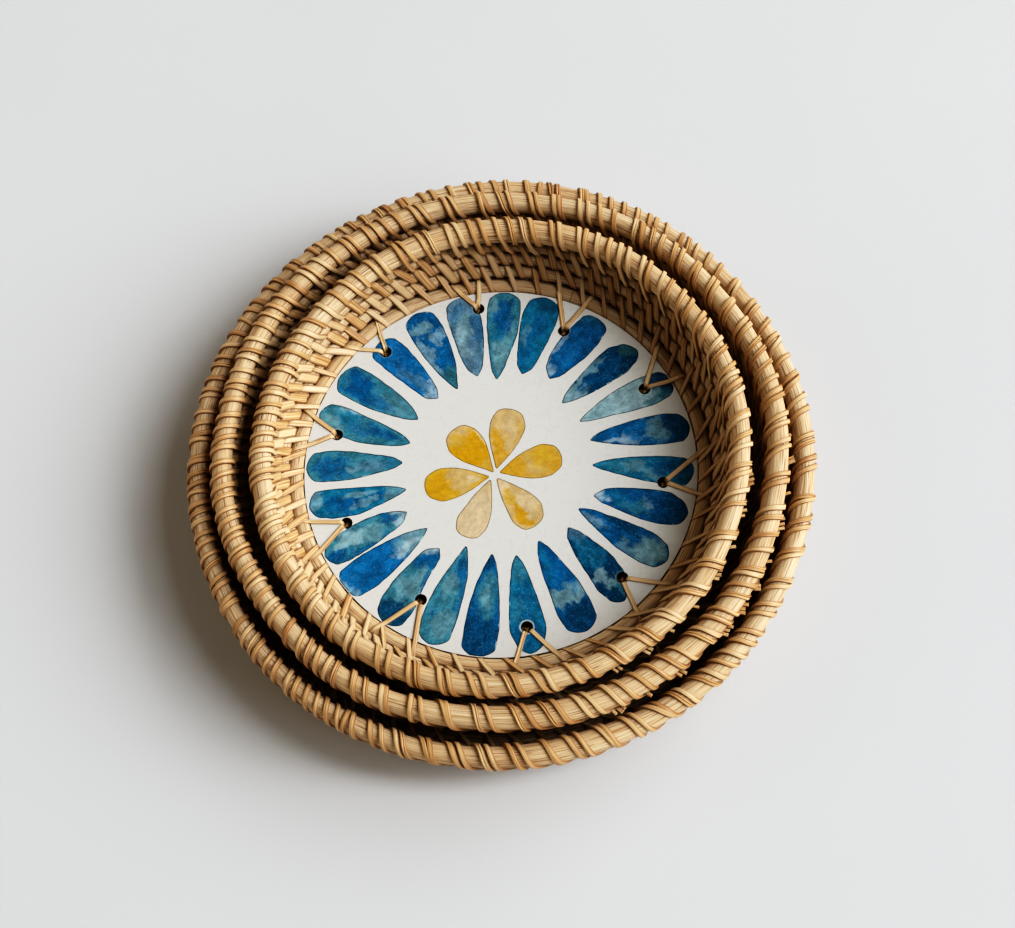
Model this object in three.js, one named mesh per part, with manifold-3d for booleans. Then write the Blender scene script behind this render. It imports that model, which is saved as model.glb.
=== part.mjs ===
// A nest of three round rattan trays.
//
// Each tray has a lacquered board for a floor, a rattan ring laid round the
// board, three rattan coils stacked on a flare, and a thick rim rod on top.
// Peel strip wraps the rim, stitches the coils together and laces the board to
// its ring through ten drilled holes. The small tray on top shows its floor: a
// white lacquer face inlaid with twenty-four blue and six yellow shell petals.
//
// Millimetres, +Z up. The origin is on the table, under the middle of the nest.

import * as THREE from 'three';
import { mergeVertices } from 'three/addons/utils/BufferGeometryUtils.js';
import Module from 'manifold-3d';

// ---------------------------------------------------------------- dimensions

const ROUND_STEPS = 28;        // straight steps in one turn of a ring
const NEST_STEP = 7.2;         // how far each tray stands above the one below
const GAP = 0.3;               // clearance between pieces that touch

const PANEL_UNDER = 1.2;       // underside of the board above the tray's foot
const BOARD_TOP = 5.0;
const FACE_UNDER = 5.2;        // lacquer layer
const FACE_TOP = 6.0;
const PANEL_RING_GAP = 0.4;    // dark line between panel and base ring

const BASE_ROD = 3.9;          // base ring, half across
const BASE_HIGH = 2.86;        // base ring, half high; its foot and top are flat
const RIM_ROD = 5.2;           // rim core, half across corners
const RIM_WRAP = 6.0;          // outside of the wrapped rim
const STITCH = 0.5;            // thickness of the stitched peel

const HOLE = 2.5;              // lacing hole radius
const LACE_WIDTH = 2.0;
const LACE_THICK = 0.6;
const LACE_OUT = 2.5;          // how far a lacing leg reaches past the ring's middle
const PLUG = 2.2;

// Each tray: panel radius, rim radius and height above its own foot, coil rod
// radius, the three coils as distance out from the base ring's middle and height
// above the foot, middle of the foot, middle of the rim, and how oval the rim is.
const TRAYS = {
  large: {
    panel: 116.62, rim: 134.0, rimZ: 33.4, coil: 3.5, level: 0,
    coils: [[6.5, 8.9], [10.0, 16.1], [12.0, 23.8]],
    foot: [0, 0], top: [0, 0], oval: [-0.0023, 0.0007],
    lacing: evenLacing(116.62, 4),
  },
  medium: {
    panel: 105.13, rim: 122.51, rimZ: 34.2, coil: 3.6, level: 1,
    coils: [[6.5, 9.0], [10.0, 16.4], [12.0, 24.4]],
    foot: [0.8, 1.56], top: [0.8, 1.56], oval: [-0.0037, 0.0003],
    lacing: evenLacing(105.13, 20),
  },
  small: {
    panel: 88.4, rim: 105.78, rimZ: 31.0, coil: 3.2, level: 2,
    coils: [[6.4, 8.4], [9.7, 14.75], [11.9, 21.6]],
    foot: [-0.3, 0.67], top: [0.77, 0.06], oval: [-0.0113, 0.0102],
    // hole x, y, then the two bearings where its legs cross the ring
    lacing: [
      [-2.0, 80.8, 97.4, 90.5], [36.1, 64.6, 67.0, 57.7], [69.5, 31.0, 32.9, 21.8],
      [71.9, -15.6, 359.0, 344.8], [48.2, -58.0, 316.8, 304.7], [4.1, -75.8, 280.7, 268.2],
      [-40.9, -58.2, 228.4, 240.4], [-71.0, -18.6, 189.7, 201.2], [-72.4, 24.6, 156.3, 167.8],
      [-47.1, 63.8, 122.4, 133.3],
    ],
  },
};

// Inlay of the small tray, measured from the middle of its rim: tip x, y, round
// end x, y, then half widths left and right of the line between them, taken at
// the stations below.
const STATIONS = [0.1, 0.3, 0.55, 0.75, 0.9];
const INLAY_SHIFT = [1.07, -0.61];
const INLAY_REACH = 86.9;      // petals stop this far from the panel's middle
const BLUE_PETALS = [
  [41.0, 9.4, 86.2, 10.6, 3.0, 5.3, 7.2, 7.9, 6.9, 1.9, 4.3, 6.2, 6.7, 6.6],
  [37.4, 19.1, 81.6, 34.3, 2.4, 5.2, 7.3, 7.6, 6.7, 1.9, 3.7, 6.0, 7.1, 6.4],
  [30.4, 29.2, 67.6, 51.3, 2.8, 5.4, 7.8, 9.0, 7.0, 2.2, 4.0, 5.3, 5.6, 4.2],
  [25.9, 42.0, 51.5, 69.6, 4.6, 7.1, 7.9, 7.2, 6.2, 3.2, 5.4, 7.3, 7.6, 6.9],
  [13.7, 45.8, 29.0, 83.2, 3.5, 5.6, 7.6, 8.4, 7.4, 3.7, 5.5, 7.1, 7.9, 7.2],
  [1.7, 44.6, 10.2, 88.4, 2.6, 4.7, 6.6, 7.6, 7.2, 2.4, 4.8, 7.4, 7.8, 7.4],
  [-7.0, 47.2, -11.9, 87.9, 3.6, 5.6, 6.6, 7.3, 6.8, 3.2, 5.6, 7.6, 8.0, 6.2],
  [-16.9, 41.8, -33.0, 82.2, 2.0, 4.6, 6.3, 7.0, 6.8, 2.2, 5.6, 7.7, 8.5, 7.9],
  [-26.2, 38.2, -50.6, 69.6, 4.0, 5.2, 6.6, 7.3, 7.6, 3.0, 5.0, 6.5, 7.0, 6.4],
  [-36.2, 28.8, -70.2, 54.4, 2.6, 4.9, 6.8, 7.2, 7.0, 3.2, 5.9, 7.6, 8.4, 8.2],
  [-40.8, 17.4, -80.6, 37.0, 3.0, 5.6, 7.6, 7.4, 5.6, 2.6, 4.3, 5.6, 6.6, 6.2],
  [-45.0, 8.2, -88.4, 10.3, 2.6, 4.6, 6.6, 7.0, 6.6, 3.0, 4.9, 7.1, 7.9, 7.4],
  [-44.4, -5.0, -88.2, -8.6, 2.3, 5.0, 7.6, 7.4, 6.0, 2.2, 4.2, 5.4, 6.7, 6.8],
  [-45.0, -16.0, -82.6, -32.8, 3.5, 5.1, 6.5, 6.9, 6.4, 3.0, 5.8, 6.8, 6.2, 4.6],
  [-36.6, -24.8, -75.0, -48.4, 2.4, 5.0, 7.1, 7.9, 7.2, 2.6, 5.4, 7.2, 8.0, 7.6],
  [-32.0, -34.8, -58.4, -66.6, 3.0, 3.6, 5.4, 7.0, 6.6, 5.0, 6.6, 8.2, 8.3, 6.9],
  [-19.9, -35.2, -40.0, -78.0, 2.4, 5.5, 7.0, 7.7, 7.5, 1.6, 4.4, 6.7, 7.3, 6.6],
  [-8.8, -40.2, -20.8, -86.0, 2.7, 5.1, 7.4, 8.4, 8.2, 2.0, 4.6, 6.3, 6.7, 6.6],
  [1.8, -42.0, 3.6, -87.2, 2.6, 4.9, 7.0, 8.2, 6.6, 2.6, 4.7, 6.7, 7.6, 5.6],
  [12.4, -36.4, 28.6, -79.8, 2.7, 5.0, 7.4, 7.8, 7.1, 2.7, 5.2, 6.7, 8.0, 7.3],
  [26.2, -31.6, 46.6, -68.0, 2.9, 5.6, 8.0, 7.8, 4.4, 3.2, 5.0, 5.9, 6.5, 5.2],
  [31.9, -23.2, 67.6, -51.6, 2.5, 4.6, 6.6, 7.7, 6.5, 2.1, 4.5, 6.8, 7.2, 6.3],
  [39.4, -17.6, 79.6, -31.0, 4.0, 6.3, 7.8, 8.4, 6.2, 2.6, 4.6, 6.8, 7.2, 6.2],
  [40.6, -3.0, 85.3, -10.4, 2.2, 4.2, 5.4, 5.8, 5.4, 2.0, 4.2, 6.6, 7.6, 8.0],
];
const YELLOW_PETALS = [
  [-1.3, -1.6, 26.9, 3.2, 1.9, 5.0, 7.2, 8.0, 6.9, 1.9, 5.0, 7.5, 7.9, 6.5],
  [-2.7, 0.6, 6.9, 28.6, 1.7, 4.6, 7.3, 7.9, 7.2, 1.8, 4.8, 7.3, 8.2, 6.9],
  [-4.5, -1.0, -20.8, 21.4, 1.5, 4.4, 7.3, 8.0, 6.6, 1.8, 4.8, 7.6, 8.0, 6.8],
  [-6.8, -3.2, -35.8, -5.2, 1.8, 4.8, 7.2, 8.0, 6.4, 1.9, 5.0, 7.4, 7.9, 6.6],
  [-6.2, -5.0, -19.4, -30.8, 1.7, 4.2, 6.4, 7.0, 6.0, 1.6, 3.9, 5.8, 7.2, 6.6],
  [-2.9, -4.6, 12.4, -28.6, 1.9, 4.6, 7.4, 8.0, 6.4, 1.8, 4.2, 6.2, 7.4, 6.8],
];

// Ten evenly spaced holes with a leg to either side, for the two outer trays.
function evenLacing(panel, turn) {
  const rows = [];
  for (let i = 0; i < 10; i++) {
    const bearing = turn + i * 36;
    const t = THREE.MathUtils.degToRad(bearing);
    rows.push([(panel - 11) * Math.cos(t), (panel - 11) * Math.sin(t), bearing + 5.5, bearing - 5.5]);
  }
  return rows;
}

// ------------------------------------------------------------------- finishes

const finish = (color, roughness, metalness = 0) =>
  new THREE.MeshStandardMaterial({ color, roughness, metalness, flatShading: true });
const FINISH = {
  rod: () => finish(0xc79a5e, 0.62),
  peel: () => finish(0xb98748, 0.45),
  board: () => finish(0x9a7a52, 0.75),
  lacquer: () => finish(0xeeece6, 0.25),
  blue: () => finish(0x1c5f9c, 0.22),
  yellow: () => finish(0xd9a531, 0.25),
};

// ------------------------------------------------------------- shape helpers

const wasm = await Module();
wasm.setup();

function bare(geometry) {
  const g = geometry.clone();
  g.deleteAttribute('normal');
  g.deleteAttribute('uv');
  return mergeVertices(g, 1e-4);
}

// Turn every face outward.
function faceOut(g) {
  const p = g.attributes.position, index = g.index.array;
  const a = new THREE.Vector3(), b = new THREE.Vector3(), c = new THREE.Vector3();
  let volume = 0;
  for (let i = 0; i < index.length; i += 3) {
    a.fromBufferAttribute(p, index[i]);
    b.fromBufferAttribute(p, index[i + 1]);
    c.fromBufferAttribute(p, index[i + 2]);
    volume += a.dot(b.cross(c));
  }
  if (volume < 0) {
    for (let i = 0; i < index.length; i += 3) [index[i + 1], index[i + 2]] = [index[i + 2], index[i + 1]];
  }
  return g;
}

function toSolid(geometry) {
  const g = faceOut(bare(geometry));
  return new wasm.Manifold(new wasm.Mesh({
    numProp: 3,
    vertProperties: Float32Array.from(g.attributes.position.array),
    triVerts: Uint32Array.from(g.index.array),
  }));
}

function toGeometry(solid) {
  const mesh = solid.getMesh();
  const g = new THREE.BufferGeometry();
  g.setAttribute('position', new THREE.BufferAttribute(Float32Array.from(mesh.vertProperties), 3));
  g.setIndex(new THREE.BufferAttribute(Uint32Array.from(mesh.triVerts), 1));
  return g;
}

// A closed section [r, z] turned once round the tray, then eased onto the
// tray's slightly oval and off-centre rim.
function ring(tray, section) {
  const outline = [...section, section[0]].map(([r, z]) => new THREE.Vector2(r, z));
  const g = faceOut(bare(new THREE.LatheGeometry(outline, ROUND_STEPS).rotateX(Math.PI / 2)));
  const p = g.attributes.position;
  for (let i = 0; i < p.count; i++) {
    const x = p.getX(i), y = p.getY(i), z = p.getZ(i);
    const k = THREE.MathUtils.clamp((z - FACE_TOP) / (tray.rimZ - FACE_TOP), 0, 1);
    const t = Math.atan2(y, x);
    const swell = 1 + k * (tray.oval[0] * Math.cos(2 * t) + tray.oval[1] * Math.sin(2 * t));
    p.setXYZ(i,
      x * swell + THREE.MathUtils.lerp(tray.foot[0], tray.top[0], k),
      y * swell + THREE.MathUtils.lerp(tray.foot[1], tray.top[1], k),
      z);
  }
  return g;
}

function polygon(r, z, radius, sides, turn) {
  return Array.from({ length: sides }, (_, i) => {
    const a = turn + (i * 2 * Math.PI) / sides;
    return [r + radius * Math.cos(a), z + radius * Math.sin(a)];
  });
}

function prism(points, z0, z1) {
  const shape = new THREE.Shape(points.map(([x, y]) => new THREE.Vector2(x, y)));
  return new THREE.ExtrudeGeometry(shape, { depth: z1 - z0, bevelEnabled: false, steps: 1 }).translate(0, 0, z0);
}

function disc(radius, z0, z1) {
  return prism(polygon(0, 0, radius, ROUND_STEPS, 0), z0, z1);
}

function holeCutter([x, y], radius = HOLE) {
  return toSolid(prism(polygon(x, y, radius, 8, Math.PI / 8), -2, FACE_TOP + 2));
}

function bar(x0, y0, x1, y1, width, z0, z1) {
  const length = Math.hypot(x1 - x0, y1 - y0);
  return new THREE.BoxGeometry(length, width, z1 - z0)
    .rotateZ(Math.atan2(y1 - y0, x1 - x0))
    .translate((x0 + x1) / 2, (y0 + y1) / 2, (z0 + z1) / 2);
}

// Outline of one petal, with a little allowance added all round.
function petalOutline(row, grow) {
  const [x0, y0, x1, y1] = row;
  const length = Math.hypot(x1 - x0, y1 - y0);
  const ax = [(x1 - x0) / length, (y1 - y0) / length];
  const left = row.slice(4, 9), right = row.slice(9, 14);
  const at = (u, v) => [x0 + INLAY_SHIFT[0] + ax[0] * u - ax[1] * v, y0 + INLAY_SHIFT[1] + ax[1] * u + ax[0] * v];
  const pick = [0, 1, 3, 4];
  const side = [
    ...pick.map((i) => [STATIONS[i] * length, -right[i]]),
    [length, 0],
    ...pick.slice().reverse().map((i) => [STATIONS[i] * length, left[i]]),
  ];
  let points = [[0, 0], ...side].map(([u, v]) => at(u, v)).map(([x, y]) => {
    const r = Math.hypot(x, y), f = r > INLAY_REACH ? INLAY_REACH / r : 1;
    return [x * f, y * f];
  });
  if (!grow) return points;
  const n = points.length;
  return points.map((p, i) => {
    const a = points[(i + n - 1) % n], b = points[(i + 1) % n];
    const e0 = norm([p[0] - a[0], p[1] - a[1]]), e1 = norm([b[0] - p[0], b[1] - p[1]]);
    const n0 = [e0[1], -e0[0]], n1 = [e1[1], -e1[0]];
    const m = norm([n0[0] + n1[0], n0[1] + n1[1]]);
    const reach = Math.min(grow / Math.max(0.3, m[0] * n0[0] + m[1] * n0[1]), 3 * grow);
    return [p[0] + m[0] * reach, p[1] + m[1] * reach];
  });
}

function norm([x, y]) {
  const l = Math.hypot(x, y) || 1;
  return [x / l, y / l];
}

// A strip of even thickness along a bent line in the section plane.
function strip(line, thickness) {
  const h = thickness / 2;
  const side = (sign) => line.map((p, i) => {
    const e0 = i > 0 ? norm([p[0] - line[i - 1][0], p[1] - line[i - 1][1]]) : null;
    const e1 = i < line.length - 1 ? norm([line[i + 1][0] - p[0], line[i + 1][1] - p[1]]) : null;
    const n0 = e0 ? [-e0[1], e0[0]] : [-e1[1], e1[0]];
    const n1 = e1 ? [-e1[1], e1[0]] : n0;
    const m = norm([n0[0] + n1[0], n0[1] + n1[1]]);
    const reach = (sign * h) / (m[0] * n0[0] + m[1] * n0[1]);
    return [p[0] + m[0] * reach, p[1] + m[1] * reach];
  });
  return [...side(1), ...side(-1).reverse()];
}

// -------------------------------------------------------------------- a tray

function buildTray(name, tray) {
  const group = new THREE.Group();
  group.position.z = tray.level * NEST_STEP;
  const add = (piece, geometry, material) => {
    const g = bare(geometry);
    g.computeVertexNormals();
    const mesh = new THREE.Mesh(g, material);
    mesh.name = `${name}_${piece}`;
    group.add(mesh);
  };
  const onFoot = (geometry) => geometry.translate(tray.foot[0], tray.foot[1], 0);

  // Section of the wall: it leaves the base ring low, then curves up to the rim.
  const ringR = tray.panel + PANEL_RING_GAP + BASE_ROD;
  const coils = tray.coils.map(([out, z]) => [ringR + out, z]);
  const line = [[ringR, BASE_HIGH], ...coils, [tray.rim, tray.rimZ]];
  const along = (i) => {                         // direction of the wall at a rod
    const p = line[Math.max(0, i - 1)], q = line[Math.min(line.length - 1, i + 1)];
    return norm([q[0] - p[0], q[1] - p[1]]);
  };
  const lean = (i) => Math.atan2(along(i)[1], along(i)[0]);
  // A point beside the wall, between rod i and the next: inward is into the tray.
  const beside = (i, share, inward) => {
    const p = line[i], q = line[Math.min(line.length - 1, i + 1)];
    const d = share > 0 ? norm([q[0] - p[0], q[1] - p[1]]) : along(i);
    return [p[0] + (q[0] - p[0]) * share - d[1] * inward, p[1] + (q[1] - p[1]) * share + d[0] * inward];
  };

  // Floor: board and lacquer face, drilled for the lacing.
  const holes = tray.lacing.map(([x, y]) => holeCutter([x, y]));
  let board = toSolid(disc(tray.panel, PANEL_UNDER, BOARD_TOP));
  let face = toSolid(disc(tray.panel, FACE_UNDER, FACE_TOP));
  for (const hole of holes) {
    board = board.subtract(hole);
    face = face.subtract(hole);
  }
  if (name === 'small') {
    const inlay = (rows, colour) => rows.forEach((row, i) => {
      face = face.subtract(toSolid(prism(petalOutline(row, GAP), FACE_UNDER - 1, FACE_TOP + 1)));
      let petal = toSolid(prism(petalOutline(row, 0), FACE_UNDER, FACE_TOP));
      tray.lacing.forEach(([x, y]) => {
        if (Math.hypot(x - INLAY_SHIFT[0] - row[2], y - INLAY_SHIFT[1] - row[3]) < 40) {
          petal = petal.subtract(holeCutter([x, y], HOLE));
        }
      });
      const number = String(i + 1).padStart(2, '0');
      add(`${colour}_petal_${number}`, onFoot(toGeometry(petal)), FINISH[colour]());
    });
    inlay(BLUE_PETALS, 'blue');
    inlay(YELLOW_PETALS, 'yellow');
  }
  add('base_board', onFoot(toGeometry(board)), FINISH.board());
  add('lacquer_face', onFoot(toGeometry(face)), FINISH.lacquer());

  // Wall: base ring with a flat foot, three coils, rim rod.
  const squash = BASE_HIGH / (BASE_ROD * Math.cos(Math.PI / 6));
  add('base_ring', ring(tray, polygon(ringR, 0, BASE_ROD, 6, 0).map(([r, z]) => [r, BASE_HIGH + z * squash])), FINISH.rod());
  coils.forEach(([r, z], i) => {
    add(`wall_coil_${i + 1}`, ring(tray, polygon(r, z, tray.coil, 6, lean(i + 1) + Math.PI / 6)), FINISH.rod());
  });
  add('rim_rod', ring(tray, polygon(tray.rim, tray.rimZ, RIM_ROD, 8, lean(4))), FINISH.rod());

  // Rim wrap: a peel sleeve over the rim rod, open where the coils meet it.
  const around = (radius) => polygon(tray.rim, tray.rimZ, radius, 8, lean(4) + Math.PI).slice(1);
  add('rim_wrap', ring(tray, [...around(RIM_WRAP), ...around(RIM_ROD + 0.35).reverse()]), FINISH.peel());

  // Stitching: peel that runs up inside two coils, through, and out over the third.
  const reach = tray.coil + GAP + STITCH / 2 + 0.05;
  add('wall_stitching', ring(tray, strip(
    [beside(1, 0, reach), beside(2, 0, reach), beside(2, 0.5, reach), beside(2, 0.5, -reach),
      beside(3, 0, -reach), beside(3, 0.42, -reach), beside(3, 0.42, -0.6)],
    STITCH)), FINISH.peel());

  // Lacing: up through each hole, two legs out over the ring, runs underneath.
  const legZ0 = FACE_TOP + GAP, legZ1 = legZ0 + LACE_THICK;
  const legR = ringR + LACE_OUT;
  let lacing = null;
  const join = (geometry) => {
    const solid = toSolid(geometry);
    lacing = lacing ? lacing.add(solid) : solid;
  };
  tray.lacing.forEach(([x, y, legA, legB], i) => {
    join(bar(x - PLUG / 2, y, x + PLUG / 2, y, PLUG, GAP, legZ1));
    for (const bearing of [legA, legB]) {
      const t = THREE.MathUtils.degToRad(bearing);
      join(bar(x, y, legR * Math.cos(t), legR * Math.sin(t), LACE_WIDTH, legZ0, legZ1));
    }
    const next = tray.lacing[(i + 1) % tray.lacing.length];
    join(bar(x, y, next[0], next[1], LACE_WIDTH * 0.8, GAP, GAP + LACE_THICK));
  });
  add('lacing', onFoot(toGeometry(lacing)), FINISH.peel());
  return group;
}

// ------------------------------------------------------------------- the nest

const nest = new THREE.Group();
nest.name = 'rattan_tray_nest';
for (const name of ['large', 'medium', 'small']) nest.add(buildTray(name, TRAYS[name]));

export default nest;
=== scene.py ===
"""A nest of three round rattan trays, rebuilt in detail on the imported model.

Lengths are millimetres until a mesh is made, and metres after that.
"""
import math
import bpy
import numpy as np
from mathutils import Matrix, Vector
from mathutils.geometry import delaunay_2d_cdt


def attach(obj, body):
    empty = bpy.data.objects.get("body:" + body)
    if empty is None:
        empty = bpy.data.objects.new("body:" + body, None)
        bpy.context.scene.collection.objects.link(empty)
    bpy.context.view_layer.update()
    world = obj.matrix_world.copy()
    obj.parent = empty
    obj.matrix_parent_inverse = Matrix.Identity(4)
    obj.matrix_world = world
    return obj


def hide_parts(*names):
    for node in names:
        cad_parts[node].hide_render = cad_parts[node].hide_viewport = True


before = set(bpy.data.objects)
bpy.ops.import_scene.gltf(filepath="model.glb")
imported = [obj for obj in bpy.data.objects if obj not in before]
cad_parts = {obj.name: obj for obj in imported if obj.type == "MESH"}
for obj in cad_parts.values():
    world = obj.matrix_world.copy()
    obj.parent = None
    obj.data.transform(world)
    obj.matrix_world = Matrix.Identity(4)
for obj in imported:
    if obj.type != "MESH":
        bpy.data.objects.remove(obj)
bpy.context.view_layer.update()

MM = 0.001
TAU = 2 * math.pi
scene = bpy.context.scene

# ------------------------------------------------------------------- camera
# The view is from 67.7 degrees above the table, 0.82 m from the middle of the
# large rim, turned a little about its own axis.

ELEVATION, ROLL, REACH = math.radians(67.7287), math.radians(-6.188), 0.82
FOCAL_PX, CENTRE_PX = 1844.71, (499.866, 458.063)
WIDE, HIGH = 1015, 928

forward = Vector((0, math.cos(ELEVATION), -math.sin(ELEVATION)))
right = Vector((1, 0, 0))
up = right.cross(forward)
cam_x = math.cos(ROLL) * right + math.sin(ROLL) * up
cam_y = -math.sin(ROLL) * right + math.cos(ROLL) * up
eye = Vector((0, 0, 33.4 * MM)) - REACH * forward
cam_data = bpy.data.cameras.new("camera")
cam_data.sensor_fit = "HORIZONTAL"
cam_data.sensor_width = 36
cam_data.lens = FOCAL_PX * 36 / WIDE
cam_data.shift_x = (WIDE / 2 - CENTRE_PX[0]) / WIDE
cam_data.shift_y = (CENTRE_PX[1] - HIGH / 2) / WIDE
cam_data.clip_start = 0.01
camera = bpy.data.objects.new("camera", cam_data)
camera.matrix_world = Matrix((
    (cam_x.x, cam_y.x, -forward.x, eye.x),
    (cam_x.y, cam_y.y, -forward.y, eye.y),
    (cam_x.z, cam_y.z, -forward.z, eye.z),
    (0, 0, 0, 1)))
scene.collection.objects.link(camera)
scene.camera = camera

# The camera's tone curve: middle tones pass as they are, dark ones are deepened and the
# brightest held back a little.
TONES = [(0.0, 0.0), (0.03, 0.0065), (0.08, 0.031), (0.22, 0.153), (0.42, 0.388), (0.60, 0.60), (0.80, 0.79), (1.0, 0.94)]
view = scene.view_settings
view.view_transform = "Standard"
view.use_curve_mapping = True
curve = view.curve_mapping.curves[3]
for point, place in zip((curve.points[0], curve.points[-1]), (TONES[0], TONES[-1])):
    point.location = place
for place in TONES[1:-1]:
    curve.points.new(*place)
view.curve_mapping.update()

# --------------------------------------------------------------- dimensions

NEST_STEP = 7.2
FACE_TOP, FACE_UNDER = 6.0, 5.2
BOARD_TOP, BOARD_UNDER = 5.18, 1.2
HOLE = 2.55
RIM_ROD = 4.4
RING_MID, RING_HALF = 3.9, (3.45, 3.85)     # base ring height, half high and half wide

SMALL_LACING = [
    (-2.0, 80.8, 97.4, 90.5), (36.1, 64.6, 67.0, 57.7), (69.5, 31.0, 32.9, 21.8),
    (71.9, -15.6, 359.0, 344.8), (48.2, -58.0, 316.8, 304.7), (4.1, -75.8, 280.7, 268.2),
    (-40.9, -58.2, 228.4, 240.4), (-71.0, -18.6, 189.7, 201.2), (-72.4, 24.6, 156.3, 167.8),
    (-47.1, 63.8, 122.4, 133.3)]

# Inlay of the small tray, from the middle of its rim: tip x, y, round end x, y,
# then half widths left and right of the line between them at the stations.
STATIONS = (0.1, 0.3, 0.55, 0.75, 0.9)
INLAY_SHIFT = (1.07, -0.61)
BLUE_PETALS = [
    (41.0, 9.4, 86.2, 10.6, 3.0, 5.3, 7.2, 7.9, 6.9, 1.9, 4.3, 6.2, 6.7, 6.6),
    (37.4, 19.1, 81.6, 34.3, 2.4, 5.2, 7.3, 7.6, 6.7, 1.9, 3.7, 6.0, 7.1, 6.4),
    (30.4, 29.2, 67.6, 51.3, 2.8, 5.4, 7.8, 9.0, 7.0, 2.2, 4.0, 5.3, 5.6, 4.2),
    (25.9, 42.0, 51.5, 69.6, 4.6, 7.1, 7.9, 7.2, 6.2, 3.2, 5.4, 7.3, 7.6, 6.9),
    (13.7, 45.8, 29.0, 83.2, 3.5, 5.6, 7.6, 8.4, 7.4, 3.7, 5.5, 7.1, 7.9, 7.2),
    (1.7, 44.6, 10.2, 88.4, 2.6, 4.7, 6.6, 7.6, 7.2, 2.4, 4.8, 7.4, 7.8, 7.4),
    (-7.0, 47.2, -11.9, 87.9, 3.6, 5.6, 6.6, 7.3, 6.8, 3.2, 5.6, 7.6, 8.0, 6.2),
    (-16.9, 41.8, -33.0, 82.2, 2.0, 4.6, 6.3, 7.0, 6.8, 2.2, 5.6, 7.7, 8.5, 7.9),
    (-26.2, 38.2, -50.6, 69.6, 4.0, 5.2, 6.6, 7.3, 7.6, 3.0, 5.0, 6.5, 7.0, 6.4),
    (-36.2, 28.8, -70.2, 54.4, 2.6, 4.9, 6.8, 7.2, 7.0, 3.2, 5.9, 7.6, 8.4, 8.2),
    (-40.8, 17.4, -80.6, 37.0, 3.0, 5.6, 7.6, 7.4, 5.6, 2.6, 4.3, 5.6, 6.6, 6.2),
    (-45.0, 8.2, -88.4, 10.3, 2.6, 4.6, 6.6, 7.0, 6.6, 3.0, 4.9, 7.1, 7.9, 7.4),
    (-44.4, -5.0, -88.2, -8.6, 2.3, 5.0, 7.6, 7.4, 6.0, 2.2, 4.2, 5.4, 6.7, 6.8),
    (-45.0, -16.0, -82.6, -32.8, 3.5, 5.1, 6.5, 6.9, 6.4, 3.0, 5.8, 6.8, 6.2, 4.6),
    (-36.6, -24.8, -75.0, -48.4, 2.4, 5.0, 7.1, 7.9, 7.2, 2.6, 5.4, 7.2, 8.0, 7.6),
    (-32.0, -34.8, -58.4, -66.6, 3.0, 3.6, 5.4, 7.0, 6.6, 5.0, 6.6, 8.2, 8.3, 6.9),
    (-19.9, -35.2, -40.0, -78.0, 2.4, 5.5, 7.0, 7.7, 7.5, 1.6, 4.4, 6.7, 7.3, 6.6),
    (-8.8, -40.2, -20.8, -86.0, 2.7, 5.1, 7.4, 8.4, 8.2, 2.0, 4.6, 6.3, 6.7, 6.6),
    (1.8, -42.0, 3.6, -87.2, 2.6, 4.9, 7.0, 8.2, 6.6, 2.6, 4.7, 6.7, 7.6, 5.6),
    (12.4, -36.4, 28.6, -79.8, 2.7, 5.0, 7.4, 7.8, 7.1, 2.7, 5.2, 6.7, 8.0, 7.3),
    (26.2, -31.6, 46.6, -68.0, 2.9, 5.6, 8.0, 7.8, 4.4, 3.2, 5.0, 5.9, 6.5, 5.2),
    (31.9, -23.2, 67.6, -51.6, 2.5, 4.6, 6.6, 7.7, 6.5, 2.1, 4.5, 6.8, 7.2, 6.3),
    (39.4, -17.6, 79.6, -31.0, 4.0, 6.3, 7.8, 8.4, 6.2, 2.6, 4.6, 6.8, 7.2, 6.2),
    (40.6, -3.0, 85.3, -10.4, 2.2, 4.2, 5.4, 5.8, 5.4, 2.0, 4.2, 6.6, 7.6, 8.0),
]
YELLOW_PETALS = [
    (-1.3, -1.6, 26.9, 3.2, 1.9, 5.0, 7.2, 8.0, 6.3, 1.9, 5.0, 7.5, 7.9, 6.0),
    (-2.7, 0.6, 6.9, 28.6, 1.7, 4.6, 7.3, 7.9, 6.6, 1.8, 4.8, 7.3, 8.2, 6.3),
    (-4.5, -1.0, -20.8, 21.4, 1.5, 4.4, 7.3, 8.0, 6.1, 1.8, 4.8, 7.6, 8.0, 6.3),
    (-6.8, -3.2, -35.8, -5.2, 1.8, 4.8, 7.2, 8.0, 5.9, 1.9, 5.0, 7.4, 7.9, 6.1),
    (-6.2, -5.0, -19.4, -30.8, 1.7, 4.2, 6.4, 7.0, 5.5, 1.6, 3.9, 5.8, 7.2, 6.1),
    (-2.9, -4.6, 12.4, -28.6, 1.9, 4.6, 7.4, 8.0, 5.9, 1.8, 4.2, 6.2, 7.4, 6.3),
]

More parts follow.
